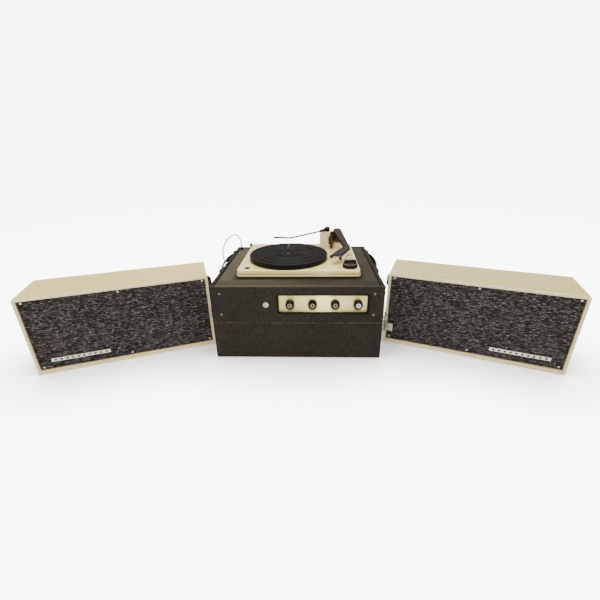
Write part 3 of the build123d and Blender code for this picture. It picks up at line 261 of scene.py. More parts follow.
# Node groups
def make_face_plane():
    """The place on a face as U along it and V across it, from object coordinates and the normal.
    "Turn" turns the object about Z first, so that a box that stands at an angle is read squarely."""
    t, i, end = new_group("face_plane", ["Turn"], ["UV", "Place", "Up"])
    place = t.place()
    normal = t.add("TexCoord", out=1)
    axis = t.join(0.0, 0.0, 1.0)
    local = t.add("VectorRotate", {"Vector": place, "Axis": axis, "Angle": i["Turn"]})
    side = t.add("VectorRotate", {"Vector": normal, "Axis": axis, "Angle": i["Turn"]})
    p, n = t.split(local), t.split(t.vmath("ABSOLUTE", side))
    flat_side = n[0] > 0.65
    top = n[2] > 0.65
    front = t.join(p[0], p[2], p[1])
    end_face = t.join(p[1], p[2], p[0])
    above = t.join(p[0], p[1], p[2])
    uv = t.add("Mix", {0: flat_side, 4: front, 5: end_face}, out=1, data_type="VECTOR")
    uv = t.add("Mix", {0: top, 4: uv, 5: above}, out=1, data_type="VECTOR")
    up = t.split(normal)[2]
    t.give(end, UV=uv, Place=local, Up=up)


def make_plain_weave():
    """A plain weave: "Height" is the crowns of both threads, "Over" is 1 where the crossing thread lies on
    top, "Gap" is the hole between four threads."""
    t, i, end = new_group("plain_weave", ["UV", "Pitch U", "Pitch V"], ["Height", "Over", "Gap"])
    wander = t.noise(i["UV"], 240.0, 2.0)
    c = t.split(i["UV"])
    u = c[0] / i["Pitch U"] + wander * 0.7
    v = c[1] / i["Pitch V"] + wander * 0.7
    su = t.math("SINE", u * math.pi)
    sv = t.math("SINE", v * math.pi)
    cu, cv = abs(su), abs(sv)
    t.give(end, Height=cu * cv, Over=su * sv > 0.0,
           Gap=t.band(t.math("MAXIMUM", cu, cv), 0.05, 0.5, 1.0, 0.0))


def make_dust():
    """Dust that lies where a surface looks up."""
    t, i, end = new_group("dust", ["Place", "Up", "Amount"], ["Mask"])
    cloud = t.noise(i["Place"], 60.0, 5.0, 0.65)
    t.give(end, Mask=t.band(i["Up"], 0.3, 0.95) * t.band(cloud, 0.42, 0.72) * i["Amount"])


def make_box_wear():
    """Wear on the edges of a box: the middle one of the distances to its faces is small along an edge."""
    t, i, end = new_group("box_wear", ["Place", "Low", "High", "Width"], ["Mask"])
    d = t.vmath("MINIMUM", t.vmath("SUBTRACT", i["Place"], i["Low"]),
                t.vmath("SUBTRACT", i["High"], i["Place"]))
    x, y, z = t.split(d)
    low = t.math("MINIMUM", x, y)
    high = t.math("MAXIMUM", x, y)
    middle = t.math("MAXIMUM", low, t.math("MINIMUM", high, z))
    rough = t.noise(i["Place"], 130.0, 4.0, 0.7)
    reach = i["Width"] * t.band(rough, 0.35, 0.75, 0.0, 2.2)
    t.give(end, Mask=(middle < reach) * t.band(middle, 0.0, 0.004, 1.0, 0.35))


def make_slubs():
    """Slubs: rows of short thick threads, each cell of a row with its own length and lightness."""
    t, i, end = new_group("slubs", ["UV", "Row", "Length", "Share"], ["Mask", "Tone", "Height"])
    c = t.split(i["UV"])
    lift = (t.noise(i["UV"], 60.0, 2.0) - 0.5) * 0.0006
    row = (c[1] + lift) / i["Row"]
    number = t.math("FLOOR", row)
    seed = t.add("TexWhiteNoise", {"W": number}, noise_dimensions="1D")
    along = c[0] / i["Length"] + seed * 37.0
    cell = t.math("FLOOR", along)
    pick, tone = (t.add("TexWhiteNoise", {"Vector": t.join(cell, number, draw)},
                        noise_dimensions="3D") for draw in (3.0, 11.0))
    inside = t.math("PINGPONG", along, 0.5)
    across = t.math("PINGPONG", row, 0.5)
    bulge = t.band(inside, 0.02, 0.2) * t.band(across, 0.04, 0.3)
    mask = (pick < i["Share"]) * bulge
    t.give(end, Mask=mask, Tone=tone, Height=bulge * 0.4 + mask)


make_face_plane()
make_plain_weave()
make_dust()
make_box_wear()
make_slubs()


# Materials
MAT = {}


def new_material(name, build, *looks, **more):
    """A material of one Principled shader, whose nodes are made by build."""
    mat = bpy.data.materials.new(name)
    mat.use_nodes = True
    mat.node_tree.nodes.clear()
    t = Tree(mat.node_tree)
    out = t.node("OutputMaterial")
    bsdf = t.node("BsdfPrincipled")
    t.tree.links.new(bsdf.outputs[0], out.inputs[0])
    build(t, bsdf, *looks, **more)
    MAT[name] = mat
    return mat


def feed(t, bsdf, **values):
    """Sets or links the shader's inputs. Underscores stand for spaces."""
    for key, value in values.items():
        t.put(bsdf.inputs[key.replace("_", " ")], value)


def finish(t, bsdf, colour, rough, bump, **more):
    """Feeds the shader its colour, its roughness and a bump of (height, distance, strength)."""
    height, distance, strength = bump
    normal = t.add("Bump", {"Strength": strength, "Distance": distance, "Height": height})
    feed(t, bsdf, Base_Color=colour, Roughness=rough, Normal=normal, **more)


def book_cloth(t, bsdf, base, light, dark, rib_depth, low, high, worn, marks):
    """Bookbinder's cloth: fine weave, ribs, specks, streaks, worn edges and dust."""
    uv, place, up = t.group("face_plane", 0.0)
    crowns, _, gap = t.group("plain_weave", uv, 0.0007, 0.0007)
    c = t.split(uv)
    ripple = t.noise(t.join(c[0] * (1.0 / rib_pitch), c[1] * 55.0, 0.0), 1.0, 3.0, 0.7)
    cloud = t.noise(place, 5.0, 3.0, 0.5)
    speck = t.band(t.noise(place, 900.0, 2.0, 0.7), 0.63, 0.75)
    pale = t.band(t.noise(place, 520.0, 3.0, 0.7), 0.66, 0.8)
    grit = t.streaks(uv, (330.0, 190.0, 1.0), 3.0, 0.75)
    rub = t.group("box_wear", place, low, high, 0.0012)
    dusty = t.group("dust", place, up, 0.05)
    colour = t.layers(
        base,
        (t.band(ripple, 0.38, 0.62) * rib_depth, light),
        (t.band(grit, 0.42, 0.3), dark),
        (t.band(grit, 0.56, 0.72) * 0.75, light),
        (t.band(cloud, 0.35, 0.75) * 0.2, dark),
        (gap * 0.3, dark),
        (speck * 0.55, dark),
        (pale * 0.3, worn),
        (rub * 0.4, worn),
        (dusty, (130, 122, 104)))
    colour = marks(t, place, colour, worn)
    height = crowns + ripple * 1.6
    finish(t, bsdf, colour, t.band(cloud, 0.3, 0.7, 0.62, 0.8), (height, 0.00035, 0.9),
           Specular_IOR_Level=0.1)


def from_box(t, place, centre, half, axes):
    """Distance outside a rectangle that lies in two of the axes."""
    parts = t.split(place)
    outside = [t.math("MAXIMUM", abs(parts[axis] - middle) - reach, 0.0)
               for axis, middle, reach in zip(axes, centre, half)]
    return t.reach(*outside)


def from_platter(t, place):
    """Distance from the platter's axis."""
    x, y, _ = t.split(t.vmath("SUBTRACT", place, tuple(platter_at)))
    return t.reach(x, y)


def cabinet_marks(t, place, colour, worn):
    """Painted shade round the control plate's opening, where the recess lies in shadow, and a lighter broken
    line along the joint of the two cases.
    """
    _, y, z = t.split(place)
    # Painted shade: the cloth darkens to near black within a few millimetres round the control plate's
    # opening.
    opening_shade = t.band(from_box(t, place, window_centre, window_half, (0, 2)), 0.0008, 0.0046, 1.0, 0.0)
    opening_shade = opening_shade * (y < -0.17)
    # A lighter broken line along the joint of the two cases, in the worn colour.
    seam_patches = t.band(t.noise(place, 70.0, 4.0, 0.7), 0.35, 0.6)
    seam = t.math("COMPARE", z, case_seam, 0.0008)
    return t.layers(
        colour,
        (opening_shade * 0.85, (5, 4, 3)),
        (seam * seam_patches * 0.75, worn))


def board_marks(t, place, colour, worn):
    """The motor board: painted shade in the gap along its rim, close to the deck, over its front strip and
    growing towards the right, and one long dark streak in front of the deck.
    """
    x, y, _ = t.split(place)
    grain = t.noise(place, 40.0, 4.0, 0.6)
    # Painted shade close to the deck's outline and over the board's front strip.
    deck = from_box(t, place, deck_centre, deck_half, (0, 1)) + grain * 0.006
    front = t.band(y + grain * 0.02, -0.148, -0.118, 0.5, 0.0)
    # One long dark streak on the board in front of the deck.
    dark_streak = t.vmath("MULTIPLY", t.vmath("SUBTRACT", place, dark_streak_at), dark_streak_stretch)
    shade = t.band(t.vmath("LENGTH", dark_streak, out=1) + grain * 0.5, 0.7, 1.3, 0.8, 0.0)
    # Painted shade in the gap along the board's rim, darkened to near black.
    edge = board_high[0] - abs(x)
    return t.layers(
        colour,
        (t.band(deck, 0.003, 0.02, 0.75, 0.0), (14, 12, 8)),
        (front, (34, 30, 21)),
        # Painted shade growing towards the right.
        (t.band(x + grain * 0.05, -0.09, 0.2, 0.0, 0.6), (28, 25, 18)),
        (shade, (12, 10, 8)),
        (t.band(edge, 0.0026, 0.0042, 0.95, 0.0), (7, 6, 4)))


def grained(t, bsdf, base, light, dark, scale, depth, rough, coat, dust, shine=0.1):
    """A lightly textured solid: moulded plastic, rubber, leather or enamel, by its grain."""
    _, place, up = t.group("face_plane", 0.0)
    pebble = t.add("TexVoronoi", {"Vector": place, "Scale": scale}, feature="SMOOTH_F1")
    cloud = t.noise(place, 25.0, 4.0, 0.6)
    fine = t.noise(place, scale * 2.2, 3.0, 0.7)
    mask = t.group("dust", place, up, dust)
    colour = t.layers(
        base,
        (t.band(cloud, 0.3, 0.7) * 0.3, light),
        (t.band(fine, 0.5, 0.8) * 0.3, dark),
        (mask, (200, 194, 180)))
    finish(t, bsdf, colour, t.band(cloud, 0.3, 0.7, rough, min(rough + 0.14, 1.0)),
           (pebble + fine * 0.5, depth, 0.6), Coat_Weight=coat, Specular_IOR_Level=shine)


def metal(t, bsdf, base, dark, rough, stretch):
    """Plated or bare metal with fine scratches along one direction and dull spots."""
    place = t.place()
    lines = t.noise(t.vmath("MULTIPLY", place, stretch), 900.0, 3.0, 0.7)
    cloud = t.noise(place, 45.0, 5.0, 0.65)
    dull = t.band(cloud, 0.5, 0.78)
    colour = t.layers(base, (dull * 0.15, dark), (t.band(lines, 0.4, 0.75) * 0.12, dark))
    finish(t, bsdf, colour, dull * 0.22 + t.band(lines, 0.3, 0.7, rough * 0.8, rough * 1.25),
           (lines, 0.00002, 0.5), Metallic=1.0)


def brushed_gold(t, bsdf):
    """Pale gold anodised sheet, brushed along X, with a few stains, painted shade along the top edge and ends
    of the window, and a painted shadow and reflection below each knob.
    """
    place = t.place()
    lines = t.streaks(place, (9.0, 900.0, 2600.0), 4.0, 0.75)
    broad = t.streaks(place, (3.0, 40.0, 90.0), 3.0, 0.6)
    cloud = t.noise(place, 30.0, 4.0, 0.6)
    x, _, z = t.split(place)
    # Painted shade along the window's top edge and its two ends, where the plate lies back in the recess.
    from_end = window_half[0] - 0.0005 - abs(x - window_centre[0])
    away = t.math("MINIMUM", window_lip - z, from_end * 1.6)
    recess_shade = t.band(away + cloud * 0.0016, 0.0016, 0.0048, 1.0, 0.0)
    # Painted shadow and reflection of each knob: a soft dark patch on the plate round the knob, reaching
    # lower than higher.
    half_pitch = knob_pitch / 2
    beside = t.math("WRAP", x - (knob_first - half_pitch), knob_pitch, 0.0) - half_pitch
    below = (z - (knob_z - 0.0055)) * 0.8
    reach = t.reach(beside, below)
    colour = t.layers(
        (222, 204, 118),
        (t.band(lines, 0.25, 0.75), (250, 238, 164)),
        (t.band(broad, 0.35, 0.7) * 0.3, (222, 208, 156)),
        (t.band(cloud, 0.58, 0.8) * 0.2, (150, 138, 96)),
        (recess_shade * 0.85, (52, 42, 24)),
        (t.band(reach + cloud * 0.001, 0.0112, 0.0152, 0.8, 0.0), (58, 46, 26)))
    tangent = t.add("Tangent", direction_type="RADIAL", axis="Z")
    finish(t, bsdf, colour, t.band(lines, 0.25, 0.75, 0.26, 0.36), (lines, 0.00003, 0.5), Metallic=0.8,
           Anisotropic=1.0, Anisotropic_Rotation=0.25, Tangent=tangent)


def slub_cloth(t, bsdf):
    """Loudspeaker cloth: charcoal ground weave with short horizontal slubs of lavender grey."""
    uv = t.add("UVMap", uv_map="cloth")
    crowns, over, gap = t.group("plain_weave", uv, 0.0009, 0.0008)
    slub, slub_tone, slub_height = t.group("slubs", uv, 0.0018, 0.0078, 0.4)
    fine, fine_tone, _ = t.group("slubs", t.vmath("ADD", uv, (0.31, 0.17, 0.0)), 0.0013, 0.0046, 0.4)
    tone = t.ramp(slub_tone, (0.0, (70, 63, 60)), (0.45, (106, 100, 102)), (0.8, (88, 79, 66)),
                  (1.0, (140, 134, 132)))
    fleck = t.ramp(fine_tone, (0.0, (44, 37, 32)), (1.0, (92, 85, 83)))
    colour = t.layers(
        (20, 16, 13),
        (over, (10, 8, 7)),
        (gap * 0.7, (6, 5, 5)),
        (fine * 0.7, fleck),
        (slub * 0.85, tone))
    height = crowns * 0.4 + slub_height
    finish(t, bsdf, colour, 0.85, (height, 0.0004, 0.8), Specular_IOR_Level=0.2)


def leatherette(t, bsdf, low, high, turn, base, light):
    """Cream book cloth of the loudspeaker boxes: faint streaks along the box, greyed edges, fine grain."""
    uv, place, up = t.group("face_plane", turn)
    crowns, _, gap = t.group("plain_weave", uv, 0.0006, 0.0006)
    streak = t.streaks(uv, (7.0, 190.0, 1.0), 4.0, 0.65)
    cloud = t.noise(place, 12.0, 5.0, 0.6)
    fine = t.noise(place, 700.0, 3.0, 0.7)
    flat = t.band(up, 0.3, 0.8)
    mottle = t.streaks(uv, (90.0, 210.0, 1.0), 4.0, 0.75)
    rub = t.group("box_wear", place, low, high, 0.0016)
    stain = t.band(t.noise(place, 38.0, 5.0, 0.7), 0.66, 0.78)
    dusty = t.group("dust", place, up, 0.14)
    colour = t.layers(
        base,
        (t.band(streak, 0.3, 0.72), light),
        ((1.0 - flat) * 0.6, (240, 226, 186)),
        (t.band(cloud, 0.45, 0.75) * 0.3, (190, 166, 108)),
        (t.band(mottle, 0.42, 0.66) * 0.6, (168, 146, 84)),
        (t.band(mottle, 0.4, 0.3) * 0.4, (242, 228, 180)),
        (t.band(fine, 0.55, 0.8) * 0.3, (164, 146, 104)),
        (gap * 0.16, (150, 136, 104)),
        (rub * 0.7, (250, 245, 228)),
        (stain * 0.3, (150, 132, 96)),
        (dusty, (180, 172, 150)))
    finish(t, bsdf, colour, 0.6, (crowns + streak, 0.0002, 0.7))


def edging_cord(t, bsdf):
    """Twisted edging: dark brown with gold-brown strands."""
    place = t.place()
    twist = t.add("TexWave", {"Vector": place, "Scale": 260.0, "Distortion": 3.0, "Detail": 2.0},
                  bands_direction="DIAGONAL")
    patch = t.noise(place, 24.0, 3.0, 0.6)
    gold = t.band(twist, 0.5, 0.8) * t.band(patch, 0.4, 0.65)
    colour = t.mix(gold, (46, 34, 26), (164, 128, 72))
    finish(t, bsdf, colour, 0.55, (twist, 0.0003, 0.8))


def thread(t, bsdf, base, dark):
    """Waxed thread with fine fibres."""
    place = t.place()
    fibre = t.noise(place, 2400.0, 3.0, 0.7)
    finish(t, bsdf, t.mix(t.band(fibre, 0.3, 0.7), base, dark), 0.6, (fibre, 0.0001, 0.6))


def enamel(t, bsdf, base, shade):
    """Glossy stove enamel with faint orange peel, dust and small chips, painted shade in its groove and in a
    ring round the platter, and darker along the lowest edge of its skirt.
    """
    _, place, up = t.group("face_plane", 0.0)
    peel = t.noise(place, 260.0, 2.0, 0.5)
    cloud = t.noise(place, 16.0, 4.0, 0.6)
    speck = t.band(t.noise(place, 650.0, 3.0, 0.75), 0.7, 0.78)
    height = t.split(place)[2]
    # Painted shade: the groove round the deck's skirt is darkened.
    groove = t.math("COMPARE", height, deck_groove, 0.0013)
    dusty = t.group("dust", place, up, 0.08)
    # Painted shadow: a dark ring on the deck round the platter's edge, where the platter shades it.
    radius = from_platter(t, place) + cloud * 0.002
    platter_shade = t.band(radius, 0.1125, 0.1175, 0.8, 0.0) * (up > 0.7)
    colour = t.layers(
        base,
        (t.band(cloud, 0.3, 0.75), shade),
        (speck * 0.5, (120, 104, 76)),
        (groove * 0.7, (112, 92, 58)),
        (t.band(height, 0.2155, 0.2125), (120, 100, 66)),
        (dusty, (186, 170, 120)),
        (platter_shade, (64, 48, 26)))
    finish(t, bsdf, colour, t.band(cloud, 0.3, 0.75, 0.16, 0.28), (peel, 0.00006, 0.35), Coat_Weight=1.0,
           Coat_Roughness=0.04)


def stand_finish(t, bsdf):
    """The arm's stand: cream moulding below, dark brown mechanism above, with a ragged border of stains."""
    place = t.place()
    height = t.split(place)[2]
    ragged = t.noise(place, 160.0, 4.0, 0.7)
    edge = height + (ragged - 0.5) * 0.02
    spots = t.band(t.noise(place, 260.0, 3.0, 0.7), 0.55, 0.68)
    low = t.mix(spots * 0.8, (226, 196, 152), (112, 84, 56))
    high = t.mix(t.band(ragged, 0.35, 0.7), (40, 31, 22), (76, 60, 42))
    finish(t, bsdf, t.mix(t.band(edge, stand_cream_top, 0.2495), low, high),
           t.band(ragged, 0.3, 0.7, 0.35, 0.6), (ragged, 0.0004, 0.6), Specular_IOR_Level=0.35)


def grooved_mat(t, bsdf):
    """Dark ribbed rubber, lighter on the crests of its rings, with grey dust."""
    place = t.place()
    fine = t.noise(place, 500.0, 3.0, 0.7)
    cloud = t.noise(place, 22.0, 5.0, 0.65)
    radius = from_platter(t, place)
    ring = t.math("SINE", radius * (2 * math.pi / ring_pitch))
    colour = t.layers(
        (8, 6, 3),
        (t.band(ring, -0.6, 0.8), (17, 14, 9)),
        (t.band(cloud, 0.5, 0.8) * 0.2, (34, 31, 26)),
        (t.band(fine, 0.6, 0.8) * 0.2, (50, 46, 40)))
    finish(t, bsdf, colour, t.band(cloud, 0.3, 0.7, 0.46, 0.6), (ring + fine, 0.0002, 0.6),
           Specular_IOR_Level=0.1)


def jewel(t, bsdf):
    """Milky faceted pilot lens."""
    place = t.place()
    cells = t.add("TexVoronoi", {"Vector": place, "Scale": 520.0}, feature="F1")
    tint = t.noise(place, 300.0, 2.0, 0.5)
    colour = t.layers(
        (232, 232, 224),
        (t.band(cells, 0.1, 0.7), (150, 150, 146)),
        (t.band(tint, 0.5, 0.7) * 0.5, (198, 200, 190)))
    finish(t, bsdf, colour, 0.12, (cells, 0.0006, 0.8), Transmission_Weight=0.25, Coat_Weight=0.6)


def make_cloths():
    """Book cloths, each with its colours and marks, and the stitching. The motor board's lighter, more olive
    cloth is painted light on the cabinet's cloth, and the right loudspeaker box's darker cream is painted
    shade on the left box's cream.
    """
    new_material("cabinet_cloth", book_cloth, base=(32, 28, 22), light=(58, 53, 44), dark=(11, 10, 7),
                 rib_depth=0.6, low=case_low, high=case_high, worn=(100, 90, 72), marks=cabinet_marks)
    # Painted light: the motor board's cloth is the cabinet's cloth made lighter and more olive, as light from
    # above falls on it.
    new_material("board_cloth", book_cloth, base=(72, 67, 52), light=(100, 94, 74), dark=(44, 40, 31),
                 rib_depth=0.3, low=board_low, high=board_high, worn=(120, 112, 90), marks=board_marks)
    new_material("speaker_left", leatherette, low=(-0.7078, -0.0228, 0.0), high=(-0.2678, 0.1152, 0.21),
                 turn=-box_turn, base=(212, 186, 104), light=(236, 214, 140))
    # Painted shade: the right box's base and light are a darker copy of the left box's cream; the boxes share
    # one cloth.
    new_material("speaker_right_shaded", leatherette, low=(0.2638, -0.0051, 0.0), high=(0.7038, 0.1329, 0.21),
                 turn=box_turn, base=(186, 170, 100), light=(208, 194, 132))
    new_material("stitch", thread, base=(176, 160, 126), dark=(96, 82, 58))


def make_plain_finishes():
    """Plastics, rubbers, paints: base, light, dark, grain scale and depth, roughness, coat, dust, shine."""
    plain = {
        "rubber": ((24, 23, 22), (38, 36, 34), (12, 12, 11), 500, 0.0003, 0.7, 0.0, 0.1),
        "black_plastic": ((14, 14, 13), (26, 25, 24), (8, 8, 8), 600, 0.00008, 0.3, 0.1, 0.1),
        "dark_plastic": ((22, 17, 7), (34, 27, 13), (10, 8, 3), 420, 0.0001, 0.42, 0.1, 0.02),
        "brown_plastic": ((58, 44, 32), (86, 68, 52), (34, 25, 19), 500, 0.0001, 0.45, 0.05, 0.1),
        "cream_plastic": ((226, 206, 158), (238, 224, 186), (190, 168, 118), 500, 0.00008, 0.36, 0.15, 0.1),
        "strap_leather": ((34, 30, 26), (58, 52, 46), (16, 14, 12), 380, 0.0005, 0.5, 0.05, 0.15),
        "back_board": ((52, 38, 28), (70, 54, 40), (30, 22, 16), 900, 0.0002, 0.8, 0.0, 0.15),
        "cone_black": ((22, 21, 20), (36, 34, 31), (12, 11, 11), 700, 0.0003, 0.85, 0.0, 0.15),
        "core_steel": ((36, 36, 38), (60, 58, 56), (20, 20, 20), 500, 0.0001, 0.5, 0.0, 0.15),
        "platter_paint": ((10, 8, 5), (18, 15, 11), (5, 4, 3), 500, 0.00008, 0.5, 0.0, 0.02),
        "mech_brown": ((60, 45, 30), (92, 72, 50), (32, 24, 15), 300, 0.0003, 0.5, 0.0, 0.05),
        "lead_grey": ((176, 172, 160), (198, 194, 184), (128, 122, 108), 800, 0.0001, 0.5, 0.0, 0.0),
        "valve_glass": ((120, 120, 116), (150, 150, 146), (60, 60, 60), 100, 0.00001, 0.1, 0.5, 0.1),
        "knob_dark": ((12, 9, 6), (26, 21, 15), (6, 5, 4), 600, 0.0001, 0.4, 0.0, 0.03, 0.12),
    }
    for name, looks in plain.items():
        new_material(name, grained, *looks)


def make_metals():
    """Metals: colour, its dull shade, roughness and the way its scratches are stretched."""
    even = (1, 1, 1)
    metals = {
        "badge_metal": ((226, 220, 200), (150, 142, 120), 0.35, (0.05, 0.05, 4.0)),
        "knob_metal": ((132, 122, 98), (66, 58, 42), 0.3, even),
        "knob_pale": ((224, 216, 198), (176, 166, 146), 0.5, even),
        "screw_nickel": ((204, 196, 176), (96, 82, 58), 0.3, even),
        "screw_dull": ((130, 120, 102), (62, 52, 38), 0.45, even),
        "bronze": ((92, 70, 40), (38, 28, 16), 0.38, even),
        "latch_nickel": ((196, 190, 170), (84, 70, 46), 0.26, even),
        "chrome": ((226, 226, 222), (120, 118, 110), 0.12, even),
        "spindle_steel": ((132, 126, 112), (66, 60, 50), 0.24, even),
        "zinc_steel": ((176, 174, 166), (110, 106, 96), 0.4, even),
        "brass": ((214, 180, 110), (130, 96, 50), 0.32, even),
    }
    for name, looks in metals.items():
        new_material(name, metal, *looks)


def make_own_finishes():
    """Finishes that only one kind of piece has."""
    new_material("cream_enamel", enamel, base=(244, 224, 150), shade=(232, 208, 128))
    for name, build in (("mat_rubber", grooved_mat), ("control_gold", brushed_gold), ("lens", jewel),
                        ("stand", stand_finish), ("grille_cloth", slub_cloth), ("edging", edging_cord)):
        new_material(name, build)


make_cloths()
make_plain_finishes()
make_metals()
make_own_finishes()

dressing = {
    "cabinet_cloth": "lower_case upper_case front_panel",
    "board_cloth": "motor_board",
    "control_gold": "control_plate",
    "speaker_left": "speaker_case_left grille_board_left",
    "speaker_right_shaded": "speaker_case_right grille_board_right",
    "rubber": "rubber_feet suspension_mounts",
    "mat_rubber": "platter_mat",
    "zinc_steel": "potentiometers amplifier_chassis drive_motor idler_wheel",
    "core_steel": "transformers",
    "valve_glass": "valves",
    "back_board": "back_panel",
    "black_plastic": "speaker_sockets lead_boot",
    "strap_leather": "carry_straps speaker_strap_left speaker_strap_right strap_caps",
    "cream_enamel": "changer_plate",
    "chrome": "finger_lift",
    "spindle_steel": "record_spindle",
    "platter_paint": "platter",
    "cream_plastic": "tower_housing",
    "brown_plastic": "rest_post",
    "stand": "tonearm_base",
    "dark_plastic": "tonearm_shell overarm selector_knob tonearm_gimbal cartridge",
    "screw_nickel": "grille_screws_left grille_screws_right transport_screws",
    "screw_dull": "front_screws",
    "bronze": "wire_clip",
    "latch_nickel": "latch_plate catch_plate latch_hasp",
    "brass": "motor_pulley overarm_post speed_lever",
    "lens": "pilot_lens",
    "badge_metal": "badge_bar_left badge_bar_right",
    "lead_grey": "mains_plug mains_lead lead_coil",
    "cone_black": "drivers_left drivers_right",
}


def paint(name, mat):
    """Gives every material slot of a CAD node the finished material."""
    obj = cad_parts[name]
    for slot in obj.material_slots:
        slot.material = MAT[mat]


for finish_name, nodes in dressing.items():
    for node_name in nodes.split():
        paint(node_name, finish_name)
for number in range(knob_count):
    paint("control_knob_%d" % (number + 1), "badge_metal")


# Mains lead
lead_diameter = 0.0045
lead_route = np.array([
    (-200.5, 150.0, 218.0), (-200.5, 150.0, 237.5), (-211.0, 158.4, 253.0), (-229.6, 172.5, 255.4),
    (-252.0, 183.5, 240.0), (-271.0, 191.5, 215.5), (-282.0, 197.5, 183.0), (-281.0, 202.5, 148.0),
    (-271.0, 208.5, 108.0), (-264.0, 211.5, 66.0), (-247.0, 213.0, 26.0), (-222.0, 211.5, 2.85),
    (-196.0, 206.5, 2.25), (-174.0, 208.0, 2.25), (-152.0, 208.0, 2.25)]) * MM
coil_centre = np.array([-147.5, 243.325, 2.25]) * MM
coil_ends = [-35.325, 35.325, -30.375, 30.375, -25.425, 25.425, -20.475, 20.475]
coil_upper_ends = [-15.525, 25.425, -20.475, 30.375, -25.425, 35.325, -30.375]
coil_pitch = 4.95
points_per_half = 8
coil_tail = 0.024


def coil_points():
    """Control points of the coil: half circles on centres that step along, each worked out by its angle,
    the first layer inwards, a climb of one diameter, the second layer outwards. A control point lies on a
    circle a little larger than the turn, so that the curve touches the turn's own radius."""
    ends = [(x, 0.0) for x in coil_ends] + [(x, coil_pitch) for x in coil_upper_ends]
    points = []
    for k in range(len(ends) - 1):
        (x0, z0), (x1, z1) = ends[k], ends[k + 1]
        middle, radius = (x0 + x1) / 2, abs(x1 - x0) / 2
        start = math.pi if x0 < x1 else 0.0
        out = 1.0 / math.cos(math.pi / points_per_half / 2)
        steps = (np.arange(points_per_half) + 0.5) / points_per_half
        angle = start + math.pi * steps
        points.append(np.stack([middle + out * radius * np.cos(angle), out * radius * np.sin(angle),
                                z0 + (z1 - z0) * steps], 1))
    local = np.concatenate(points) * MM
    turned = np.stack([-local[:, 1], local[:, 0], local[:, 2]], 1)
    return turned + coil_centre


def make_lead():
    """The mains lead as one NURBS spline: the route, the coil's turns and the tail to the plug."""
    tail_start = np.array([-147.5, 212.95, 7.2]) * MM
    tail_end = tail_start + np.array([coil_tail, 0.0, 0.0])
    points = np.concatenate([lead_route[:-1], coil_points(),
                             [tail_start + (0.004, 0, 0), (tail_start + tail_end) / 2, tail_end]])
    curve = bpy.data.curves.new("mains_cord", "CURVE")
    curve.dimensions = "3D"
    spline = curve.splines.new("NURBS")
    spline.points.add(len(points) - 1)
    spline.points.foreach_set("co", np.concatenate([points, np.ones((len(points), 1))], 1).ravel())
    spline.order_u = 3
    spline.use_endpoint_u = True
    spline.resolution_u = 6
    curve.bevel_depth = lead_diameter / 2
    curve.bevel_resolution = 5
    curve.use_fill_caps = True
    obj = add_object("mains_cord", curve)
    curve.materials.append(MAT["lead_grey"])
    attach(obj, "cabinet")
    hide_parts("mains_lead", "lead_coil")


make_lead()


# Helpers: surfaces
def grid_faces(rows, cols, wrap_u=False, wrap_v=False):
    """Quad indices of a grid of rows x cols points, counter-clockwise from outside for u along rows."""
    r = np.arange(rows if wrap_u else rows - 1)
    c = np.arange(cols if wrap_v else cols - 1)
    i, j = np.meshgrid(r, c, indexing="ij")
    i2, j2 = (i + 1) % rows, (j + 1) % cols
    return np.stack([i * cols + j, i2 * cols + j, i2 * cols + j2, i * cols + j2], -1).reshape(-1, 4)


def make_object(name, verts, faces, mat, body, slot=None, smooth=True, uv=None, outward=True):
    """A mesh from whole arrays, on its body, with its material."""
    mesh = bpy.data.meshes.new(name)
    mesh.from_pydata(verts.tolist(), [], faces.tolist())
    if smooth:
        mesh.polygons.foreach_set("use_smooth", np.ones(len(mesh.polygons), dtype=bool))
    if uv is not None:
        layer = mesh.uv_layers.new(name="cloth")
        loops = np.empty(len(mesh.loops), dtype=np.int32)
        mesh.loops.foreach_get("vertex_index", loops)
        layer.data.foreach_set("uv", uv[loops].ravel())
    if outward:
        tidy_mesh(mesh)
    mesh.materials.append(MAT[mat])
    mesh.update()
    obj = add_object(name, mesh)
    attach(obj, body)
    return obj


def tidy_mesh(mesh):
    """Merges doubles and turns all faces outwards."""
    bm = bmesh.new()
    bm.from_mesh(mesh)
    bmesh.ops.remove_doubles(bm, verts=bm.verts, dist=1e-6)
    bmesh.ops.recalc_face_normals(bm, faces=bm.faces)
    bm.to_mesh(mesh)
    bm.free()


def lathe(profile, steps, ripple=None):
    """Points of a profile (radius, height) turned about Z: ripple(angle, row) scales the radius."""
    profile = np.asarray(profile, float)
    angle = np.linspace(0, 2 * math.pi, steps, endpoint=False)
    a, k = np.meshgrid(angle, np.arange(len(profile)), indexing="ij")
    radius = profile[k, 0] * (1.0 if ripple is None else ripple(a, k))
    verts = np.stack([radius * np.cos(a), radius * np.sin(a), profile[k, 1]], -1).reshape(-1, 3)
    return verts, grid_faces(steps, len(profile), wrap_u=True)


def fluting(share, depth, count):
    """A ripple for lathe: so many flutes of this depth, each row of the profile with its own share."""
    return lambda angle, row: 1 - depth * share[row] * (0.5 + 0.5 * np.cos(angle * count))


def turned_piece(name, profile, steps, at, mat, body, slot=None, front=False, ripple=None):
    """A lathed piece at its place; front lays its axis along -Y, as on the control plate."""
    verts, faces = lathe(profile, steps, ripple)
    if front:
        verts = np.stack([verts[:, 0], -verts[:, 2], verts[:, 1]], 1)
    return make_object(name, verts + at, faces, mat, body, slot)


def pebble():
    """A unit ball of few faces, for a stitch."""
    angle = np.linspace(-math.pi / 2, math.pi / 2, 5)
    return lathe(np.stack([np.cos(angle), np.sin(angle)], 1), 6)


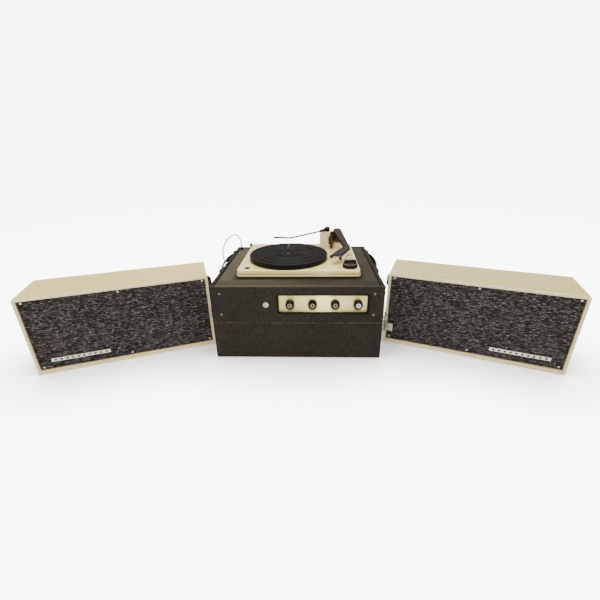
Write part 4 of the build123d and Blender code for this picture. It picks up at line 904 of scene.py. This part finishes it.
def scatter(shape, at, axis_x, axis_y, axis_z):
    """Copies of a shape at places, with three scaled axes per copy, as one mesh's points and faces."""
    verts, faces = shape
    x, y, z = (verts[None, :, k, None] for k in range(3))
    points = at[:, None] + x * axis_x[:, None] + y * axis_y[:, None] + z * axis_z[:, None]
    index = faces[None] + (np.arange(len(at)) * len(verts))[:, None, None]
    return points.reshape(-1, 3), index.reshape(-1, 4)


def section_sweep(path, side, out, half_width, half_depth):
    """A strip along a path: its section is a superellipse, half_width along side and half_depth along out."""
    cols, power = 24, 0.45
    angle = np.linspace(0, 2 * math.pi, cols, endpoint=False)
    across = np.sign(np.cos(angle)) * np.abs(np.cos(angle)) ** power
    up = np.sign(np.sin(angle)) * np.abs(np.sin(angle)) ** power
    wide = side * (half_width[:, None] * across)[..., None]
    deep = out * (half_depth[:, None] * up)[..., None]
    return (path[:, None] + wide + deep).reshape(-1, 3), grid_faces(len(path), cols, wrap_v=True)


def box_shape(low, high, edge, steps=3):
    """A box with rounded edges: a ball of rows and columns pushed out to the box's inner corners."""
    low, high = np.asarray(low, float), np.asarray(high, float)
    centre, half = (low + high) / 2, (high - low) / 2 - edge
    k = np.concatenate([np.linspace(-math.pi / 2, 0, steps + 1), np.linspace(0, math.pi / 2, steps + 1)])
    sign = np.concatenate([-np.ones(steps + 1), np.ones(steps + 1)])
    quarter = np.concatenate([q * math.pi / 2 + np.linspace(0, math.pi / 2, steps + 1) for q in range(4)])
    sx = np.repeat([1, -1, -1, 1], steps + 1)
    sy = np.repeat([1, 1, -1, -1], steps + 1)
    a = quarter[:, None]
    x = centre[0] + half[0] * sx[:, None] + edge * np.cos(a) * np.cos(k)
    y = centre[1] + half[1] * sy[:, None] + edge * np.sin(a) * np.cos(k)
    z = centre[2] + half[2] * sign + edge * np.sin(k)
    z = np.broadcast_to(z, x.shape)
    ring = np.stack([x, y, z], -1)
    cap_low = np.broadcast_to([centre[0], centre[1], low[2]], (len(quarter), 1, 3))
    cap_high = np.broadcast_to([centre[0], centre[1], high[2]], (len(quarter), 1, 3))
    verts = np.concatenate([cap_low, ring, cap_high], 1)
    return verts.reshape(-1, 3), grid_faces(len(quarter), verts.shape[1], wrap_u=True)


def merged(shapes):
    """Several shapes' points and faces as one."""
    offset, verts, faces = 0, [], []
    for v, f in shapes:
        verts.append(v)
        faces.append(f + offset)
        offset += len(v)
    return np.concatenate(verts), np.concatenate(faces)


# Loudspeaker grilles
cos_turn, sin_turn = math.cos(box_turn), math.sin(box_turn)
speaker_corner = {"left": (-0.2425, -0.116), "right": (0.245, -0.098)}
speaker_sign = {"left": -1.0, "right": 1.0}


def to_frame(side, local):
    """Points of a loudspeaker box (x from its inner end, y from its front, z up) in the shared frame."""
    x, y, z = np.moveaxis(np.asarray(local, float), -1, 0)
    along = cos_turn * x + sin_turn * y
    corner = speaker_corner[side]
    return np.stack([corner[0] + speaker_sign[side] * along, corner[1] - sin_turn * x + cos_turn * y, z], -1)


grille_low, grille_high = np.array([0.0071, 0.0126]), np.array([0.4329, 0.2029])
cloth_front = 0.0047
cloth_round = 0.0012
cloth_swell = 0.00012
cloth_shift = 1.37


def cloth_line(low, high, count):
    """Places across the cloth, and how far back each lies: flat, with a quarter circle at both ends."""
    angle = np.linspace(0, 1, 9)[:-1] * math.pi / 2
    edge, back = cloth_round * (1 - np.cos(angle)), cloth_round * (1 - np.sin(angle))
    flat = np.linspace(low + cloth_round, high - cloth_round, count)
    return np.concatenate([low + edge, flat, high - edge[::-1]]), np.concatenate([back, 0 * flat, back[::-1]])


def make_grille(side):
    """The cloth stretched over the grille board: a flat grid with a slight swell, its rim turned back round
    the board's edge on a quarter circle."""
    x, back_x = cloth_line(grille_low[0], grille_high[0], 200)
    z, back_z = cloth_line(grille_low[1], grille_high[1], 90)
    xx, zz = np.meshgrid(x, z, indexing="ij")
    depth = np.maximum(back_x[:, None], back_z[None, :])
    swell = cloth_swell * np.sin(xx * 61.0 + 1.3 * speaker_sign[side]) * np.sin(zz * 83.0)
    inside = np.minimum.reduce([xx - grille_low[0], grille_high[0] - xx, zz - grille_low[1],
                                grille_high[1] - zz])
    yy = cloth_front + depth + swell * np.clip(inside / 0.01, 0, 1)
    verts = to_frame(side, np.stack([xx, yy, zz], -1)).reshape(-1, 3)
    faces = grid_faces(len(x), len(z))
    if side == "left":
        faces = faces[:, ::-1]
    uv = np.stack([xx + cloth_shift * (side == "right"), zz], -1).reshape(-1, 2)
    name = "grille_cloth_" + side
    obj = make_object(name, verts, faces, "grille_cloth", side + "_speaker", "grille_cloth", uv=uv,
                      outward=False)


def make_edging(side):
    """A thin cord round the grille: a tube whose path is a rectangle with round corners."""
    low, high = grille_low - 0.0001, grille_high + 0.0001
    corner, radius, cord_front, cols = 0.004, 0.0009, 0.0042, 10
    arc = np.linspace(0, math.pi / 2, 7)
    centres = np.array([(high[0], high[1], 0), (low[0], high[1], 1), (low[0], low[1], 2),
                        (high[0], low[1], 3)])
    quarter = centres[:, 2][:, None] * math.pi / 2 + arc
    sx = np.array([-1, 1, 1, -1])[:, None]
    sz = np.array([-1, -1, 1, 1])[:, None]
    x = centres[:, 0][:, None] + sx * corner + corner * np.cos(quarter)
    z = centres[:, 1][:, None] + sz * corner + corner * np.sin(quarter)
    ring = np.stack([x.ravel(), z.ravel()], 1)
    tangent = np.roll(ring, -1, 0) - np.roll(ring, 1, 0)
    tangent /= np.linalg.norm(tangent, axis=1, keepdims=True)
    outward = np.stack([tangent[:, 1], -tangent[:, 0]], 1)
    angle = np.linspace(0, 2 * math.pi, cols, endpoint=False)
    flat = ring[:, None] + outward[:, None] * (radius * np.cos(angle))[None, :, None]
    y = np.broadcast_to(cord_front + radius * np.sin(angle), flat.shape[:2])
    local = np.stack([flat[..., 0], y, flat[..., 1]], -1)
    verts = to_frame(side, local).reshape(-1, 3)
    make_object("grille_edging_" + side, verts, grid_faces(len(ring), cols, True, True), "edging",
                side + "_speaker")


def make_badge(side):
    """A row of plain raised squares on the pale strip: rounded boxes at an even pitch about its middle."""
    count, pitch, half = 10, 0.0128, 0.0023
    middle, height, front, back, edge = 0.3375, 0.0355, 0.0022, 0.0034, 0.0004
    x = middle + pitch * (np.arange(count) - (count - 1) / 2)
    shapes = [box_shape((c - half, front, height - half), (c + half, back, height + half), edge) for c in x]
    verts, faces = merged(shapes)
    make_object("badge_marks_" + side, to_frame(side, verts), faces, "dark_plastic", side + "_speaker",
                "badge_metal")


# Leather straps
strap_width, strap_thickness, strap_pad = 0.024, 0.0035, 0.022
stitch_pitch, stitch_inset, stitch_half = 0.0052, 0.0026, (0.0018, 0.00045, 0.0004)


def make_strap(name, node, body, centre, along, out, length, rise, twist=0.0, lift_up=0.0):
    """A leather strap: flat at both ends, an arch of one radius between them, its section a rounded box, its
    ends half round. Two rows of stitches lie along its edges. twist turns the arch about its length and
    lift_up raises it, both growing smoothly from the ends."""
    centre, along, out = (np.asarray(v, float) for v in (centre, along, out))
    side, upward = np.cross(along, out), np.array([0, 0, 1.0])
    span = length / 2 - strap_pad
    radius = (span ** 2 + rise ** 2) / (2 * rise)

    def circle(v):
        """Height above the arch's centre, held from the pads on."""
        return np.sqrt(np.maximum(radius ** 2 - np.minimum(np.abs(v), span) ** 2, 0))

    def half_width(v):
        """Half the strap's width at v along it: full, then a half circle at each end."""
        end = np.clip((np.abs(v) - (length - strap_width) / 2) / (strap_width / 2), 0, 1)
        return strap_width / 2 * np.sqrt(1 - end ** 2)

    def swell(v):
        """From 0 at the pads to 1 in the middle, as the square of a cosine."""
        return (np.cos(np.clip(v / span, -1, 1) * math.pi / 2) ** 2)[:, None]

    u = (length / 2) * np.sin(np.linspace(-math.pi / 2, math.pi / 2, 121))
    height = circle(u) - (radius - rise) + strap_thickness / 2
    path = centre + along * u[:, None] + out * height[:, None] + upward * lift_up * swell(u)
    bent = (twist * swell(u))[..., None]
    wide = side * np.cos(bent) + out * np.sin(bent)
    deep = out * np.cos(bent) - side * np.sin(bent)
    half = half_width(u)
    verts, faces = section_sweep(path, wide, deep, half, np.minimum(strap_thickness / 2, half * 0.8))
    obj = make_object(name, verts, faces, "strap_leather", body, "strap_leather")
    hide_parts(node)

    s = np.arange(-length / 2 + 0.007, length / 2 - 0.006, stitch_pitch)
    slope = np.where(np.abs(s) < span, -s / circle(s), 0)
    tangent = along + out * slope[:, None]
    tangent /= np.linalg.norm(tangent, axis=1, keepdims=True)
    normal = np.cross(side, tangent)
    normal *= np.sign(normal @ out)[:, None]
    bent = twist * swell(s)
    flank = side * np.cos(bent) + out * np.sin(bent)
    normal = normal * np.cos(bent) - side * np.sin(bent)
    height = circle(s) - (radius - rise)
    base = centre + along * s[:, None] + out * height[:, None] + upward * lift_up * swell(s)
    base = base + (out + normal) * strap_thickness / 2
    reach = flank * np.maximum(half_width(s) - stitch_inset, 0.0)[:, None]
    across = np.broadcast_to(side, base.shape)
    axes = [np.concatenate([axis, axis]) * size for axis, size in zip((tangent, across, normal), stitch_half)]
    verts, faces = scatter(pebble(), np.concatenate([base + reach, base - reach]), *axes)
    make_object(name + "_stitches", verts, faces, "stitch", body)


def make_straps():
    """The cabinet's two handles, the left one twisted to be seen edge-on, and the loudspeaker boxes' two."""
    for word, sign, twist, lift_up in (("right", 1.0, 0.0, 0.0), ("left", -1.0, -0.7, 0.009)):
        make_strap("carry_strap_" + word, "carry_straps", "cabinet", (sign * 0.22, 0.04, 0.1935), (0, 1, 0),
                   (sign, 0, 0), 0.2, 0.0105, twist, lift_up)
    for word in ("left", "right"):
        foot, tip, off = to_frame(word, [(0.0, 0.069, 0.168), (0.0, 1.069, 0.168), (-1.0, 0.069, 0.168)])
        make_strap("end_strap_" + word, "speaker_strap_" + word, word + "_speaker", foot, tip - foot,
                   off - foot, 0.1, 0.0095)


# Turntable mat
def make_mat():
    """Ribbed rubber mat: a lathe profile whose top is a fine wave of rings with four wider plain bands."""
    crest, depth = 0.2440, 0.0005
    r = np.arange(0.0105, 0.1095, 0.00032)
    ring = 0.5 + 0.5 * np.sin(r * 2 * math.pi / ring_pitch)
    band = sum(np.exp(-((r - c) / 0.0022) ** 2) for c in (0.02, 0.05, 0.066, 0.086, 0.1075))
    top = crest - depth * (1 - ring) * np.clip(1 - band, 0, 1)
    inner = [(0.0066, 0.2415), (0.0066, 0.2434), (0.0072, 0.2439), (0.0104, 0.2439)]
    outer = [(0.1100, 0.2439), (0.1112, 0.2436), (0.1119, 0.2428), (0.1120, 0.2420), (0.1116, 0.2415)]
    profile = np.array(inner + list(zip(r, top)) + outer + [(0.0066, 0.2415)])
    obj = turned_piece("ribbed_mat", profile, 112, platter_at, "mat_rubber", "turntable", "mat_rubber")
    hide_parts("platter_mat")


# Knobs, selector, lens
def make_knobs():
    """Each knob is a fluted dark grip and a spun metal cap with a dimple, lathed about the knob's axis."""
    grip = [(0.0, 0.1733), (0.0102, 0.1733), (0.0112, 0.1738), (0.0112, 0.1780), (0.0110, 0.1830),
            (0.0108, 0.1858), (0.0102, 0.1868), (0.0094, 0.1873), (0.0064, 0.1873), (0.0062, 0.1868),
            (0.0, 0.1868)]
    cap = [(0.0, 0.1868), (0.0062, 0.1868), (0.0062, 0.1876), (0.0058, 0.1881), (0.0050, 0.1881),
           (0.0047, 0.18785), (0.0039, 0.18785), (0.0037, 0.1881), (0.0027, 0.1881), (0.0024, 0.1877),
           (0.0019, 0.1871), (0.0, 0.1869)]
    dot = [(0.0, 0.1868), (0.0020, 0.1868), (0.0024, 0.1876), (0.0, 0.1876)]
    flutes = fluting(np.array([0, 0, 0, 1, 1, 1, 0.4, 0, 0, 0, 0]), 0.035, 48)
    for i in range(knob_count):
        number, body = str(i + 1), "knob_%d" % (i + 1)
        at = (knob_first + knob_pitch * i, 0.0, knob_z)
        obj = turned_piece("knob_grip_" + number, grip, 192, at, "knob_dark", body, "badge_metal", True,
                           flutes)
        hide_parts("control_knob_" + number)
        metal_name = "knob_pale" if i == knob_count - 1 else "knob_metal"
        turned_piece("knob_cap_" + number, cap, 64, at, metal_name, body, "badge_metal", front=True)
        turned_piece("knob_dimple_" + number, dot, 24, at, "black_plastic", body, front=True)


def make_selector():
    """The selector: a lathed fluted skirt, a bright line on its step, and on top a finger bar, a rounded box
    narrowed in the middle by a cosine and turned a few degrees."""
    at = np.array([0.1395, -0.1, 0.0])
    skirt = [(0.0, 0.2303), (0.0192, 0.2303), (0.0199, 0.2308), (0.0200, 0.2316), (0.0199, 0.2392),
             (0.0196, 0.2404), (0.0188, 0.2412), (0.0170, 0.2413), (0.0165, 0.2416), (0.0164, 0.2430),
             (0.0160, 0.2437), (0.0150, 0.2438), (0.0, 0.2438)]
    flutes = fluting(np.array([0, 0, 0.3, 1, 1, 0.5, 0, 0, 0, 0, 0, 0, 0]), 0.03, 40)
    obj = turned_piece("selector_skirt", skirt, 240, at, "dark_plastic", "selector", "dark_plastic",
                       ripple=flutes)
    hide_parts("selector_knob")
    line = [(0.0180, 0.24120), (0.0190, 0.24125), (0.0194, 0.2408), (0.0191, 0.24150), (0.0181, 0.2416),
            (0.0180, 0.24120)]
    turned_piece("selector_line", line, 96, at, "knob_metal", "selector")
    a, half_bar, half_width = math.radians(8), 0.0155, 0.0045
    v, f = box_shape((-half_bar, -half_width, 0.2436), (half_bar, half_width, 0.2498), 0.0016, 4)
    waist = 1 - 0.28 * np.cos(np.clip(v[:, 0] / half_bar, -1, 1) * math.pi / 2) ** 2
    x = v[:, 0] * math.cos(a) - v[:, 1] * math.sin(a)
    y = v[:, 0] * math.sin(a) + v[:, 1] * waist * math.cos(a)
    make_object("selector_bar", np.stack([x, y, v[:, 2]], 1) + at, f, "dark_plastic", "selector")


def make_lens():
    """A pilot lens in a bezel: rings of flat facets on a dome, each turned half a facet from the last."""
    at = np.array([-0.0784, 0.0, 0.1582])
    radius = np.array([0.0060, 0.0056, 0.0044, 0.0026, 0.0])
    height = np.array([0.1858, 0.1870, 0.1879, 0.1884, 0.1885])
    facets, rings = 10, len(radius)
    angle = np.linspace(0, 2 * math.pi, facets, endpoint=False)
    a = angle[:, None] + np.arange(rings)[None] * math.pi / facets
    v = np.stack([at[0] + radius * np.cos(a), np.broadcast_to(-height, a.shape),
                  at[2] + radius * np.sin(a)], -1).reshape(-1, 3)
    obj = make_object("pilot_jewel", v, grid_faces(facets, rings, wrap_u=True), "lens", "cabinet",
                      "lens_pale", smooth=False)
    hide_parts("pilot_lens")
    bezel = [(0.0058, 0.1850), (0.0075, 0.1850), (0.0075, 0.1858), (0.0070, 0.1864), (0.0062, 0.1864),
             (0.0058, 0.1858), (0.0058, 0.1850)]
    turned_piece("pilot_bezel", bezel, 48, at, "screw_nickel", "cabinet", front=True)


# Small pieces on the changer
trip_blocks = {
    "upright": ((0.0966, 0.086, 0.232), (0.1016, 0.104, 0.2805), 0.0012),
    "front": ((0.0905, 0.0735, 0.2455), (0.1030, 0.0792, 0.2670), 0.0016),
    "lug": ((0.0925, 0.0745, 0.2668), (0.0990, 0.0792, 0.2708), 0.001),
    "bridge": ((0.0966, 0.0790, 0.2500), (0.1020, 0.0862, 0.2640), 0.001),
    "leg": ((0.0985, 0.0752, 0.2300), (0.1015, 0.0785, 0.2458), 0.0008),
}
arm_walls = {
    "side": ((0.0968, 0.0985, 0.2300), (0.1050, 0.1105, 0.2800), 0.0016),
    "back": ((0.1040, 0.1064, 0.2300), (0.1250, 0.1102, 0.2790), 0.0014),
    "rib": ((0.1046, 0.1040, 0.2300), (0.1100, 0.1068, 0.2500), 0.001),
}


def make_round_plate():
    """A plain round plate on the deck: a low disc lathed about Z, its upper edge bevelled."""
    profile = [(0.0, 0.2299), (0.0085, 0.2299), (0.0085, 0.2302), (0.0081, 0.2305), (0.0, 0.2305)]
    turned_piece("round_plate", profile, 40, (-0.1338, -0.1072, 0.0), "dark_plastic", "cabinet")


def make_brackets():
    """The small pieces between the tower and the arm: rounded blocks with two drums, and three walls."""
    profile = [(0.0, 0.0), (0.0050, 0.0), (0.0060, 0.0006), (0.0060, 0.0034), (0.0052, 0.0042),
               (0.0022, 0.0044), (0.0, 0.0044)]
    drum, drum_faces = lathe(profile, 36)
    drums = [(np.stack([drum[:, 0] * size + x, front - drum[:, 2], drum[:, 1] * size + z], 1), drum_faces)
             for x, front, z, size in ((0.0952, 0.0740, 0.2612, 1.0), (0.1000, 0.0740, 0.2512, 0.7))]
    blocks = [box_shape(*block) for block in trip_blocks.values()]
    make_object("trip_bracket", *merged(blocks + drums), "mech_brown", "cabinet")
    walls = [box_shape(*wall) for wall in arm_walls.values()]
    make_object("arm_bracket", *merged(walls), "stand", "cabinet")


for word in ("left", "right"):
    make_grille(word)
    make_edging(word)
    make_badge(word)
make_straps()
make_mat()
make_knobs()
make_selector()
make_lens()
make_round_plate()
make_brackets()


# Floor and light
paper_glow = 7.0
sky_to_pieces, sky_to_camera = 0.55, 7.5


def glowing_paper(t, bsdf):
    """Paper that glows to the camera where it is open to the sky, so that shadows of contact stay."""
    place = t.place()
    cloud = t.noise(place, 1.5, 3.0, 0.5)
    seen = t.add("LightPath")
    open_sky = t.add("AmbientOcclusion", {"Distance": 0.22}, out=1, samples=12)
    feed(t, bsdf, Base_Color=t.mix(cloud, (0.86, 0.86, 0.86, 1), (0.9, 0.9, 0.9, 1)), Roughness=0.9,
         Emission_Color=(1, 1, 1, 1), Emission_Strength=seen * (open_sky ** 3.5 * paper_glow))


def make_stage():
    """Pale floor that curves up into a backdrop: a straight run, a quarter circle, and a straight wall."""
    radius, start, wall = 2.0, 3.0, 6.0
    flat_y = np.array([-3.0, 0.0, 1.5, start])
    angle = np.linspace(0, math.pi / 2, 33)[1:]
    y = np.concatenate([flat_y, start + radius * np.sin(angle), [start + radius]])
    z = np.concatenate([0 * flat_y, radius - radius * np.cos(angle), [wall]])
    x = np.linspace(-6, 6, 9)
    yy, xx = np.meshgrid(y, x, indexing="ij")
    zz = np.broadcast_to(z[:, None], yy.shape)
    verts = np.stack([xx, yy, zz], -1).reshape(-1, 3)
    mesh = bpy.data.meshes.new("studio_floor")
    mesh.from_pydata(verts.tolist(), [], grid_faces(len(y), len(x))[:, ::-1].tolist())
    mesh.polygons.foreach_set("use_smooth", np.ones(len(mesh.polygons), dtype=bool))
    mesh.materials.append(new_material("studio_paper", glowing_paper))
    add_object("studio_floor", mesh)


def make_sky():
    """Even white light: plain to the pieces, brighter to the camera."""
    world = bpy.data.worlds.new("studio")
    world.use_nodes = True
    t = Tree(world.node_tree)
    glow = t.band(t.add("LightPath"), 0.0, 1.0, sky_to_pieces, sky_to_camera)
    feed(t, world.node_tree.nodes["Background"], Color=(1, 1, 1, 1), Strength=glow)
    bpy.context.scene.world = world


def area_light(name, place, target, size, energy, size_y=None):
    """A soft light that looks at its target: square, or with its own height."""
    data = bpy.data.lights.new(name, "AREA")
    data.energy = energy
    data.size = size
    if size_y:
        data.shape = "RECTANGLE"
        data.size_y = size_y
    obj = add_object(name, data)
    obj.location = place
    aim = (Vector(target) - Vector(place)).normalized()
    obj.rotation_euler = aim.to_track_quat("-Z", "Y").to_euler()


make_stage()
make_sky()
area_light("top_soft", (0.0, 0.5, 2.4), (0.0, 0.0, 0.0), 2.4, 125.0)
area_light("front_key", (0.122, -1.6, 0.62), (0.07, -0.15, 0.16), 0.07, 7.0, size_y=0.7)
area_light("left_fill", (-2.2, -1.8, 1.5), (-0.2, 0.0, 0.1), 1.6, 50.0)
area_light("right_fill", (2.4, -1.6, 1.3), (0.2, 0.0, 0.1), 1.4, 36.0)
